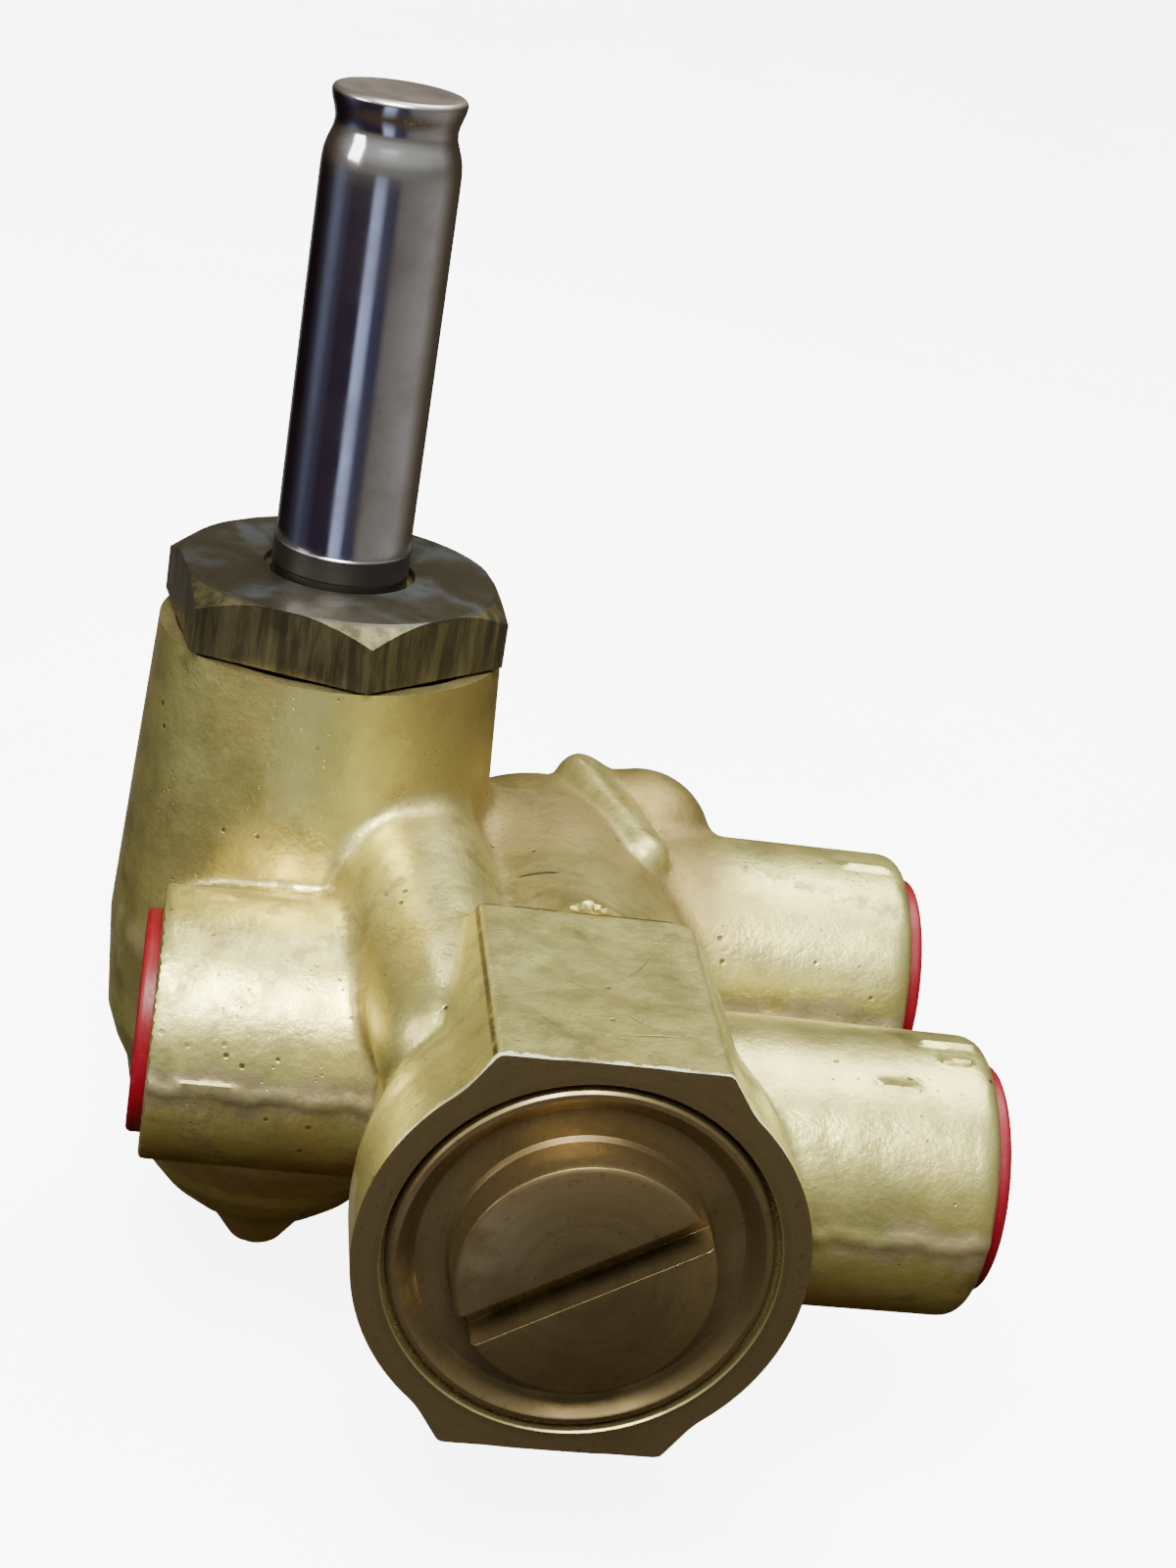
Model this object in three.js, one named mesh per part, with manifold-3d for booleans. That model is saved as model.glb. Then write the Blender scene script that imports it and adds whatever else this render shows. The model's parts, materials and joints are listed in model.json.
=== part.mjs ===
// Solenoid pilot operated three-way valve: a forged brass body with three pipe ports, a slotted end
// cap on its main bore, and a column that carries a hexagonal solenoid base and a core tube.
// Millimetres. X runs along the ports, Y along the main bore (0 at the front face, away from the
// viewer of that face), Z up the column. The shapes are drawn with the main bore's axis at X = 0, Z = 0.
import * as THREE from 'three';
import { mergeVertices } from 'three/addons/utils/BufferGeometryUtils.js';
import Module from 'manifold-3d';

const wasm = await Module();
wasm.setup();

// ---------- driving dimensions ----------
const SIDES = 28;                  // facets round an outside circle
const INNER_SIDES = 20;            // facets round a piece inside the body
const SMALL_SIDES = 16;            // facets round a small piece
const FIT = 0.1;                   // radial clearance of a fitted piece
const SEAL_FIT = 0.05;             // clearance of a seal in its groove
const SEAL_PROUD = 0.2;            // how far a poppet's seal stands out of its holder
const FACE_GAP = 0.3;              // gap between faces that touch

const CAGE_R = 15.1;               // bore for the seats and spacers

const PORT_BORE_R = 10.3;          // threaded socket of a port
const PORT_BORE_DEPTH = 17;
const PORT_MOUTH_R = PORT_BORE_R + 1.6;  // countersunk mouth, wide enough for a port cap's flange
const PORT_MOUTH_DEPTH = 0.9;
const PORT_R = PORT_BORE_R + 3.7;  // outside of a port boss
const PORT_EDGE = 1.1;             // rounding of a port boss's outer edge
const PORT_REACH = CAGE_R + 25.9;  // main axis to a port's face
const FRONT_PORT_Y = 22.4;
const LEFT_PORT_Y = FRONT_PORT_Y + 16.9;
const REAR_PORT_Y = LEFT_PORT_Y + 27.1;
const PASSAGE_R = 4.6;             // passage from a port to the main bore
const FRONT_PASSAGE_Y = FRONT_PORT_Y;
const LEFT_PASSAGE_Y = LEFT_PORT_Y;
const REAR_PASSAGE_Y = REAR_PORT_Y - 4.5;

const CAGE_END = LEFT_PORT_Y + 10.7;
const SPACER_WALL = 2.5;
const SEAT_THICK = 4;
const SEAT_HOLE_R = CAGE_R - 6.6;
const LIP_HEIGHT = 1;
const LIP_WIDTH = 1.1;
const FRONT_SEAT_Y = FRONT_PASSAGE_Y + 6.3;
const SPOOL_TRAVEL = 3.9;
const STEM_R = 3.2;
const SEAT_TOUCH = 0.06;           // gap of a closed seal to its seat

const CAP_BORE_R = CAGE_R + 2.9;   // threaded bore for the end cap
const CAP_BORE_DEPTH = 10.2;
const CAP_RECESS_R = CAP_BORE_R + 0.5;  // relief round the end cap at the front face
const CAP_RECESS_DEPTH = 1.2;
const CAP_DISC_R = CAGE_R - 3;     // raised disc with the screwdriver slot
const CAP_DISC_PROUD = 3.5;
const CAP_FLOOR = 1.6;             // sunk ring round the disc
const CAP_NOSE_LENGTH = 3.4;
const CAP_NOSE_STEP = 2.5;         // how much smaller the cap's nose is than the seat bore
const CAP_RIM = 2;                 // width of the cap's rim
const SLOT_WIDTH = 3.3;
const SLOT_DEPTH = 4;
const SLOT_ANGLE = 31;             // degrees, in the front face

const BOSS_R = CAP_RECESS_R + 2.75;  // round front boss
const BOSS_LENGTH = 17;
const PAD_TOP = BOSS_R - 0.55;     // height of the wrench pads above the main axis
const PAD_HALF = 10.5;             // half width of a pad's flat
const PAD_LENGTH = 31.5;
const SHOULDER_X = PAD_HALF + 3.3;  // where a pad's shoulder runs out on the boss
const SHOULDER_Z = PAD_TOP - 4.9;
const BARREL_R = CAGE_R + 2.1;     // rear barrel round the main bore
const BARREL_END = REAR_PORT_Y + 14.6;

const PISTON_BORE_R = CAGE_R - 2.6;
const PISTON_BORE_END = BARREL_END - 3;
const PISTON_Y = PISTON_BORE_END - 6.7;
const PISTON_THICK = 4.6;
const CUP_DEPTH = 2.4;             // radial depth of a piston's cup groove
const CUP_WIDTH = 2;

const COLUMN_BORE_R = 15;          // threaded bore for the solenoid base
const RELAY_BORE_R = COLUMN_BORE_R - 4;
const RELAY_BORE_END = -24;
const COLUMN_X = -(RELAY_BORE_R + PISTON_BORE_R + 3);
const COLUMN_Y = REAR_PORT_Y - 0.4;
const COLUMN_TOP = 34.4;
const COLUMN_TOP_R = COLUMN_BORE_R + 3.25;
const COLUMN_DRAFT = 0.056;        // growth of the radius per millimetre down to the parting plane
const COLUMN_BOTTOM = RELAY_BORE_END - 17;
const NOSE_R = 3;                  // blunt tip under the column
const COLUMN_STEP = COLUMN_TOP - 18.4;  // shelf under the pilot plate

const HEX_FLATS = 2 * COLUMN_BORE_R + 3;
const HEX_TOP = COLUMN_TOP + 7.1;
const HEX_TURN = -20;              // degrees, one corner of the hexagon from +X
const HEX_CHAMFER = 1.5;
const PLATE_THICK = 3.4;           // pilot plate
const GASKET_THICK = 0.8;
const TUBE_R = 7.14;
const TUBE_WALL = 0.64;
const TUBE_TOP = HEX_TOP + 50.2;
const TUBE_FLANGE_R = TUBE_R + 1.86;
const TUBE_FLANGE_THICK = 1.2;
const TUBE_FLANGE_Z = COLUMN_TOP - 3.4;
const PLUGNUT_TOP = TUBE_TOP - 5.3;
const PLUGNUT_BOTTOM = PLUGNUT_TOP - 19.9;
const NOZZLE_TOP = TUBE_FLANGE_Z - 0.8;
const NOZZLE_R = 3;
const CORE_TRAVEL = 1.5;
const ORIFICE_R = 1;

const RELAY_PISTON_Z = COLUMN_STEP - 7.4;  // underside of the relay piston
const RELAY_PISTON_THICK = 4.6;
const RELAY_SEAT_Z = -2;           // underside of the relay seat
const RELAY_SEAT_THICK = 4;
const RELAY_SEAT_HOLE_R = 4.4;
const RELAY_TRAVEL = 2.4;
const RELAY_STEM_R = 1.8;
const SUPPLY_R = 1.4;              // passage from the left port to the relay valve
const SIGNAL_R = 1.2;              // passage from the relay valve to behind the main piston

const PLUG_FLANGE_R = PORT_MOUTH_R - 0.5;  // plastic port cap
const PLUG_FLANGE_THICK = 1.7;
const PLUG_LENGTH = 12;
const PLUG_WALL = 1.7;

// ---------- looks ----------
function finish(color, metalness, roughness) {
  return { color, metalness, roughness };
}

const BRASS = finish(0xb79f5a, 1, 0.42);
const MACHINED = finish(0x9a7a42, 1, 0.3);
const TARNISHED = finish(0x6a5f4c, 1, 0.4);
const STEEL = finish(0xb9bac4, 1, 0.12);
const COPPER = finish(0xb2663c, 1, 0.3);
const RUBBER = finish(0x1b1b1b, 0, 0.85);
const PLASTIC = finish(0xa8142b, 0, 0.45);

// ---------- solids ----------
// A closed geometry with shared vertices, no flat slivers at its poles and its faces outward.
function welded(geometry) {
  const bare = geometry.clone();
  bare.deleteAttribute('normal');
  bare.deleteAttribute('uv');
  const merged = mergeVertices(bare, 1e-4);
  const vertices = Array.from(merged.attributes.position.array);
  const index = Array.from(merged.index.array);
  const triangles = [];
  for (let i = 0; i < index.length; i += 3) {
    const [a, b, c] = [index[i], index[i + 1], index[i + 2]];
    if (a !== b && b !== c && c !== a) triangles.push(a, b, c);
  }
  if (signedVolume(vertices, triangles) < 0) triangles.reverse();
  return { vertices, triangles };
}

function signedVolume(vertices, triangles) {
  const corner = (k) => new THREE.Vector3(vertices[3 * k], vertices[3 * k + 1], vertices[3 * k + 2]);
  let total = 0;
  for (let i = 0; i < triangles.length; i += 3) {
    total += corner(triangles[i]).dot(corner(triangles[i + 1]).cross(corner(triangles[i + 2])));
  }
  return total / 6;
}

function solid(geometry) {
  const { vertices, triangles } = welded(geometry);
  return new wasm.Manifold(new wasm.Mesh({
    numProp: 3,
    vertProperties: new Float32Array(vertices),
    triVerts: new Uint32Array(triangles),
  }));
}

function geometryOf(manifold) {
  const mesh = manifold.getMesh();
  const geometry = new THREE.BufferGeometry();
  geometry.setAttribute('position', new THREE.BufferAttribute(new Float32Array(mesh.vertProperties), 3));
  geometry.setIndex(new THREE.BufferAttribute(new Uint32Array(mesh.triVerts), 1));
  return geometry;
}

// Turned shapes: a profile of [radius, distance along the axis] points, closed on the axis.
function turned(profile, axis, sides = SIDES) {
  const points = profile.map(([radius, along]) => new THREE.Vector2(radius, along));
  const geometry = new THREE.LatheGeometry(points, sides);
  if (axis === 'x') geometry.rotateZ(-Math.PI / 2);
  if (axis === 'z') geometry.rotateX(Math.PI / 2);
  return geometry;
}

function spindle(profile, axis, sides = SIDES) {
  const first = profile[0][1];
  const last = profile[profile.length - 1][1];
  return turned([[0, first], ...profile, [0, last]], axis, sides);
}

function ring(outer, inner, from, to, axis, sides = SIDES) {
  return turned([[inner, from], [outer, from], [outer, to], [inner, to], [inner, from]], axis, sides);
}

function oRing(radius, section, along, axis) {
  const points = [];
  const steps = 6;
  for (let i = 0; i <= steps; i += 1) {
    const turn = (2 * Math.PI * (i % steps)) / steps;
    points.push([radius + section * Math.cos(turn), along + section * Math.sin(turn)]);
  }
  return turned(points, axis);
}

function rod(radius, from, to, axis, sides = SMALL_SIDES) {
  return spindle([[radius, from], [radius, to]], axis, sides);
}

function hexPrism(flats, from, to, axis, hole) {
  const across = flats / Math.sqrt(3);
  const body = solid(spindle([[across, from], [across, to]], axis, 6));
  return hole ? body.subtract(solid(rod(hole, from - 1, to + 1, axis))) : body;
}

function moved(geometry, x, y, z) {
  return geometry.translate(x, y, z);
}

// A round bar between two points, for passages and webs.
function bar(radius, start, end, sides = SMALL_SIDES) {
  const from = new THREE.Vector3(...start);
  const to = new THREE.Vector3(...end);
  const geometry = rod(radius, 0, from.distanceTo(to), 'y', sides);
  const direction = to.clone().sub(from).normalize();
  geometry.applyQuaternion(new THREE.Quaternion().setFromUnitVectors(new THREE.Vector3(0, 1, 0), direction));
  return geometry.translate(from.x, from.y, from.z);
}

// The part's origin is the middle of the lower wrench pad's flat.
const group = new THREE.Group();
group.position.set(0, -PAD_LENGTH / 2, PAD_TOP);

function addPiece(name, shape, look) {
  const geometry = shape instanceof THREE.BufferGeometry ? geometryOf(solid(shape)) : geometryOf(shape);
  const mesh = new THREE.Mesh(geometry, new THREE.MeshStandardMaterial(look));
  mesh.name = name;
  group.add(mesh);
  return mesh;
}

function addToColumn(name, shape, look) {
  addPiece(name, shape, look).position.set(COLUMN_X, COLUMN_Y, 0);
}

// ---------- forged body ----------
function portBoss(side) {
  return spindle([
    [PORT_R, 0],
    [PORT_R, side * (PORT_REACH - PORT_EDGE)],
    [PORT_R - PORT_EDGE * 0.3, side * (PORT_REACH - PORT_EDGE * 0.3)],
    [PORT_R - PORT_EDGE, side * PORT_REACH],
  ], 'x');
}

function portCut(side, socketY, passageY) {
  const floor = PORT_REACH - PORT_BORE_DEPTH;
  const socket = spindle([
    [PASSAGE_R * 0.5, side * (floor - 3)],
    [PORT_BORE_R, side * floor],
    [PORT_BORE_R, side * (PORT_REACH - PORT_MOUTH_DEPTH)],
    [PORT_MOUTH_R, side * PORT_REACH],
    [PORT_MOUTH_R, side * (PORT_REACH + 1)],
  ], 'x');
  const passage = rod(PASSAGE_R, 0, side * (floor + 0.5), 'x');
  return solid(moved(socket, 0, socketY, 0)).add(solid(moved(passage, 0, passageY, 0)));
}

function frontBoss() {
  return spindle([
    [BOSS_R, 0],
    [BOSS_R, BOSS_LENGTH * 0.55],
    [BARREL_R + 1.8, BOSS_LENGTH],
    [BARREL_R + 1.2, PAD_LENGTH],
    [BARREL_R, PAD_LENGTH + 6],
    [BARREL_R, BARREL_END - 4.5],
    [BARREL_R - 1.6, BARREL_END - 1.4],
    [BARREL_R - 5, BARREL_END],
  ], 'y');
}

function wrenchPads() {
  const outline = new THREE.Shape();
  outline.moveTo(-PAD_HALF, PAD_TOP);
  outline.lineTo(PAD_HALF, PAD_TOP);
  outline.lineTo(SHOULDER_X, SHOULDER_Z);
  outline.lineTo(SHOULDER_X, -SHOULDER_Z);
  outline.lineTo(PAD_HALF, -PAD_TOP);
  outline.lineTo(-PAD_HALF, -PAD_TOP);
  outline.lineTo(-SHOULDER_X, -SHOULDER_Z);
  outline.lineTo(-SHOULDER_X, SHOULDER_Z);
  outline.closePath();
  const geometry = new THREE.ExtrudeGeometry(outline, { depth: PAD_LENGTH, bevelEnabled: false });
  return geometry.rotateX(Math.PI / 2).translate(0, PAD_LENGTH, 0);
}

function column() {
  const partingR = COLUMN_TOP_R + COLUMN_DRAFT * COLUMN_TOP;
  return moved(spindle([
    [COLUMN_TOP_R, COLUMN_TOP],
    [partingR, 0],
    [partingR - 0.9, RELAY_BORE_END + 12],
    [partingR - 1.8, RELAY_BORE_END + 9],
    [partingR - 3.2, RELAY_BORE_END + 7],
    [RELAY_BORE_R + 4.6, RELAY_BORE_END],
    [RELAY_BORE_R + 2.6, RELAY_BORE_END - 5],
    [RELAY_BORE_R + 0.6, RELAY_BORE_END - 7.5],
    [RELAY_BORE_R - 2.4, RELAY_BORE_END - 10],
    [NOSE_R + 3, COLUMN_BOTTOM + 5.2],
    [NOSE_R + 1.6, COLUMN_BOTTOM + 3.2],
    [NOSE_R, COLUMN_BOTTOM + 0.9],
    [NOSE_R / 2, COLUMN_BOTTOM],
  ], 'z'), COLUMN_X, COLUMN_Y, 0);
}

function mainBoreCut() {
  return spindle([
    [CAP_RECESS_R, -1],
    [CAP_RECESS_R, CAP_RECESS_DEPTH],
    [CAP_BORE_R, CAP_RECESS_DEPTH],
    [CAP_BORE_R, CAP_BORE_DEPTH],
    [CAGE_R, CAP_BORE_DEPTH],
    [CAGE_R, CAGE_END],
    [PISTON_BORE_R, CAGE_END],
    [PISTON_BORE_R, PISTON_BORE_END],
  ], 'y');
}

function columnBoreCut() {
  return moved(spindle([
    [COLUMN_BORE_R, COLUMN_TOP + 1],
    [COLUMN_BORE_R, COLUMN_STEP],
    [RELAY_BORE_R, COLUMN_STEP],
    [RELAY_BORE_R, RELAY_BORE_END],
    [4, RELAY_BORE_END - 3],
  ], 'z'), COLUMN_X, COLUMN_Y, 0);
}

function valveBody() {
  const webTop = 9;
  const padLevels = new THREE.BoxGeometry(4 * BOSS_R, 4 * BARREL_END, 2 * PAD_TOP);
  let body = solid(frontBoss()).add(solid(wrenchPads())).intersect(solid(padLevels)).add(solid(column()));
  body = body.add(solid(moved(portBoss(1), 0, FRONT_PORT_Y, 0)));
  body = body.add(solid(moved(portBoss(1), 0, REAR_PORT_Y, 0)));
  body = body.add(solid(moved(portBoss(-1), 0, LEFT_PORT_Y, 0)));
  // Webs from the column to the front boss and to the barrel, then the rib and the lump on the barrel.
  body = body.add(solid(bar(11, [COLUMN_X + 6, COLUMN_Y - 4, webTop], [-8, PAD_LENGTH - 4, webTop - 1])));
  body = body.add(solid(bar(12, [COLUMN_X, COLUMN_Y, 5], [0, COLUMN_Y - 4, 3], SIDES)));
  const ribStart = [4.4, BARREL_END - 6, BARREL_R - 0.4];
  const ribEnd = [10.2, CAGE_END + 11.5, BARREL_R - 3.7];
  body = body.add(solid(bar(3, ribStart, ribEnd, 12)));
  body = body.add(solid(bar(8.7, [8, BARREL_END - 7, 9.2], [11.5, BARREL_END - 7, 9.6])));
  body = body.subtract(solid(mainBoreCut())).subtract(solid(columnBoreCut()));
  body = body.subtract(portCut(1, FRONT_PORT_Y, FRONT_PASSAGE_Y));
  body = body.subtract(portCut(1, REAR_PORT_Y, REAR_PASSAGE_Y));
  body = body.subtract(portCut(-1, LEFT_PORT_Y, LEFT_PASSAGE_Y));
  const supplyZ = RELAY_SEAT_Z - 6.6;
  const supply = [[COLUMN_X - 1.5, LEFT_PORT_Y + 4, supplyZ], [COLUMN_X - 1.5, COLUMN_Y - 8, supplyZ]];
  const signalY = PISTON_BORE_END - 1.6;
  const signalZ = RELAY_SEAT_Z + RELAY_SEAT_THICK + 3;
  body = body.subtract(solid(bar(SUPPLY_R, supply[0], supply[1], 12)));
  body = body.subtract(solid(bar(SIGNAL_R, [COLUMN_X + 2, signalY, signalZ], [-8, signalY, signalZ], 12)));
  addPiece('valve_body', body, BRASS);
}

// ---------- main bore ----------
function frontEndCap() {
  const nose = CAP_BORE_DEPTH - FACE_GAP;
  let cap = solid(spindle([
    [CAP_DISC_R - 0.5, -CAP_DISC_PROUD],
    [CAP_DISC_R, -CAP_DISC_PROUD + 0.5],
    [CAP_DISC_R, CAP_FLOOR],
    [CAP_BORE_R - CAP_RIM - 0.4, CAP_FLOOR],
    [CAP_BORE_R - CAP_RIM, CAP_FLOOR - 1],
    [CAP_BORE_R - CAP_RIM / 2, CAP_FLOOR - 1],
    [CAP_BORE_R - FIT, CAP_FLOOR],
    [CAP_BORE_R - FIT, nose],
    [CAGE_R - CAP_NOSE_STEP, nose],
    [CAGE_R - CAP_NOSE_STEP, nose + CAP_NOSE_LENGTH],
    [STEM_R + 0.9, nose + CAP_NOSE_LENGTH],
    [STEM_R + 0.9, CAP_FLOOR + 1.2],
  ], 'y'));
  const slot = new THREE.BoxGeometry(CAP_DISC_R * 3, SLOT_DEPTH + 1, SLOT_WIDTH);
  slot.rotateY(THREE.MathUtils.degToRad(-SLOT_ANGLE));
  slot.translate(0, -CAP_DISC_PROUD + (SLOT_DEPTH - 1) / 2, 0);
  const reach = solid(rod(CAP_DISC_R + 0.2, -CAP_DISC_PROUD - 2, CAP_FLOOR, 'y', SIDES));
  cap = cap.subtract(solid(slot).intersect(reach));
  addPiece('front_end_cap', cap, MACHINED);
  const groove = CAP_NOSE_STEP / 2;
  const ringY = nose + groove + FACE_GAP;
  addPiece('front_cap_o_ring', oRing(CAGE_R - groove, groove - 2 * FIT, ringY, 'y'), RUBBER);
}

function spacer(name, from, to, windowY) {
  const inner = CAGE_R - FIT - SPACER_WALL;
  let body = solid(ring(CAGE_R - FIT, inner, from, to, 'y'));
  const windowR = Math.min(PASSAGE_R, (to - from) / 2 - 1.6);
  body = body.subtract(solid(moved(rod(windowR, -CAGE_R - 1, CAGE_R + 1, 'x'), 0, windowY, 0)));
  body = body.subtract(solid(moved(rod(windowR, -CAGE_R - 1, CAGE_R + 1, 'z'), 0, windowY, 0)));
  addPiece(name, body, MACHINED);
}

// A seat ring; its lip points along +Y when facing is 1 and along -Y when it is -1.
function seatRing(name, from, facing) {
  const to = from + SEAT_THICK;
  const outer = CAGE_R - FIT;
  const groove = 1.7;
  const middle = (from + to) / 2;
  const lipFoot = facing > 0 ? to : from;
  const lipTop = lipFoot + facing * LIP_HEIGHT;
  const lipOuter = SEAT_HOLE_R + LIP_WIDTH;
  const band = [[outer, from], [outer, middle - groove / 2], [outer - groove, middle - groove / 2],
    [outer - groove, middle + groove / 2], [outer, middle + groove / 2], [outer, to]];
  const lip = [[lipOuter, lipFoot], [lipOuter, lipTop], [SEAT_HOLE_R, lipTop]];
  const profile = facing > 0
    ? [[SEAT_HOLE_R, from], ...band, ...lip, [SEAT_HOLE_R, from]]
    : [[SEAT_HOLE_R, to], ...band.reverse(), ...lip, [SEAT_HOLE_R, to]];
  addPiece(name, turned(profile, 'y'), MACHINED);
  addPiece(`${name}_o_ring`, oRing(outer - groove / 2, groove / 2 - SEAL_FIT, middle, 'y'), RUBBER);
}

function mainValve() {
  const capNoseEnd = CAP_BORE_DEPTH - FACE_GAP + CAP_NOSE_LENGTH;
  const frontSeatEnd = FRONT_SEAT_Y + SEAT_THICK;
  const rearSeatY = CAGE_END - FACE_GAP - SEAT_THICK;
  spacer('front_spacer', capNoseEnd + FACE_GAP, FRONT_SEAT_Y - FACE_GAP, FRONT_PASSAGE_Y);
  seatRing('front_seat', FRONT_SEAT_Y, 1);
  spacer('centre_spacer', frontSeatEnd + FACE_GAP, rearSeatY - FACE_GAP, LEFT_PASSAGE_Y);
  seatRing('rear_seat', rearSeatY, -1);

  const poppetRear = rearSeatY - LIP_HEIGHT - SEAT_TOUCH;
  const poppetFront = frontSeatEnd + LIP_HEIGHT + SEAT_TOUCH + SPOOL_TRAVEL;
  const poppetR = CAGE_R - FIT - SPACER_WALL - 0.9;
  const sealOuter = SEAT_HOLE_R + LIP_WIDTH + 0.8;
  const sealInner = SEAT_HOLE_R - 1;
  const sealThick = 1.3;
  const hole = STEM_R - 0.6;
  const pocketIn = sealInner - SEAL_FIT;
  const pocketOut = sealOuter + SEAL_FIT;
  const holderBore = hole + SEAL_FIT;
  const frontFace = poppetFront + SEAL_PROUD;
  const rearFace = poppetRear - SEAL_PROUD;
  const frontPocket = poppetFront + sealThick + SEAL_FIT;
  const rearPocket = poppetRear - sealThick - SEAL_FIT;
  addPiece('poppet_holder', turned([
    [holderBore, frontFace], [pocketIn, frontFace], [pocketIn, frontPocket], [pocketOut, frontPocket],
    [pocketOut, frontFace], [poppetR, frontFace], [poppetR, rearFace], [pocketOut, rearFace],
    [pocketOut, rearPocket], [pocketIn, rearPocket], [pocketIn, rearFace], [holderBore, rearFace],
    [holderBore, frontFace],
  ], 'y', INNER_SIDES), MACHINED);
  addPiece('front_poppet_seal',
    ring(sealOuter, sealInner, poppetFront, poppetFront + sealThick, 'y', INNER_SIDES), RUBBER);
  addPiece('rear_poppet_seal',
    ring(sealOuter, sealInner, poppetRear - sealThick, poppetRear, 'y', INNER_SIDES), RUBBER);

  const nutThick = 3;
  const collar = poppetRear - 0.1;
  const stemFront = capNoseEnd - 5.4;
  const pistonEnd = PISTON_Y + PISTON_THICK;
  addPiece('spool_stem', spindle([
    [hole - 0.5, stemFront], [hole, stemFront + 0.5], [hole, collar], [STEM_R + 1.6, collar],
    [STEM_R + 1.6, collar + 2], [STEM_R, collar + 2], [STEM_R, PISTON_Y - 0.1],
    [hole - 0.4, PISTON_Y - 0.1], [hole - 0.4, pistonEnd + 1.6],
  ], 'y', SMALL_SIDES), STEEL);
  const nutBack = poppetFront + SEAL_PROUD / 2;
  addPiece('poppet_nut', hexPrism(9, nutBack - nutThick, nutBack, 'y', holderBore), STEEL);

  const cupFloor = PISTON_BORE_R - FIT - CUP_DEPTH;
  const cupFrom = PISTON_Y + (PISTON_THICK - CUP_WIDTH) / 2;
  const outer = PISTON_BORE_R - FIT;
  const bore = hole - 0.35;
  addPiece('main_piston', turned([
    [bore, PISTON_Y], [outer, PISTON_Y], [outer, cupFrom - SEAL_FIT], [cupFloor, cupFrom - SEAL_FIT],
    [cupFloor, cupFrom + CUP_WIDTH + SEAL_FIT], [outer, cupFrom + CUP_WIDTH + SEAL_FIT], [outer, pistonEnd],
    [bore, pistonEnd], [bore, PISTON_Y],
  ], 'y'), MACHINED);
  addPiece('main_piston_cup',
    ring(PISTON_BORE_R - SEAL_FIT, cupFloor + SEAL_FIT, cupFrom, cupFrom + CUP_WIDTH, 'y'), RUBBER);
  addPiece('piston_nut', hexPrism(7, pistonEnd + 0.1, pistonEnd + 1.5, 'y', bore), STEEL);
}

// ---------- column ----------
function solenoidBase() {
  const shankEnd = COLUMN_STEP + FIT + PLATE_THICK + GASKET_THICK + 2 * FIT;
  const bottom = COLUMN_TOP + FACE_GAP;
  const corner = HEX_FLATS / Math.sqrt(3);
  const hex = spindle([
    [corner, bottom], [corner, HEX_TOP],
  ], 'z', 6);
  hex.rotateZ(THREE.MathUtils.degToRad(HEX_TURN + 90));
  const chamfer = spindle([
    [corner + 1, bottom - 1], [corner + 1, HEX_TOP - HEX_CHAMFER - 1],
    [corner - HEX_CHAMFER, HEX_TOP], [corner - HEX_CHAMFER, HEX_TOP + 1],
  ], 'z', 48);
  const shankR = COLUMN_BORE_R - FIT;
  const shank = spindle([[shankR - 0.8, shankEnd], [shankR, shankEnd + 0.8], [shankR, bottom + 1]], 'z');
  const hole = spindle([
    [shankR - 3, shankEnd - 1],
    [shankR - 3, TUBE_FLANGE_Z - 1],
    [TUBE_FLANGE_R + FIT, TUBE_FLANGE_Z - 1],
    [TUBE_FLANGE_R + FIT, TUBE_FLANGE_Z + TUBE_FLANGE_THICK + FIT],
    [TUBE_R + FIT, TUBE_FLANGE_Z + TUBE_FLANGE_THICK + FIT],
    [TUBE_R + FIT, HEX_TOP + 1],
  ], 'z');
  const base = solid(hex).intersect(solid(chamfer)).add(solid(shank)).subtract(solid(hole));
  addToColumn('solenoid_base', base, TARNISHED);
  const plateTop = COLUMN_STEP + FIT + PLATE_THICK;
  addToColumn('base_gasket',
    ring(COLUMN_BORE_R - FIT, shankR - 2.6, plateTop + FIT, plateTop + FIT + GASKET_THICK, 'z'), RUBBER);
}

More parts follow.
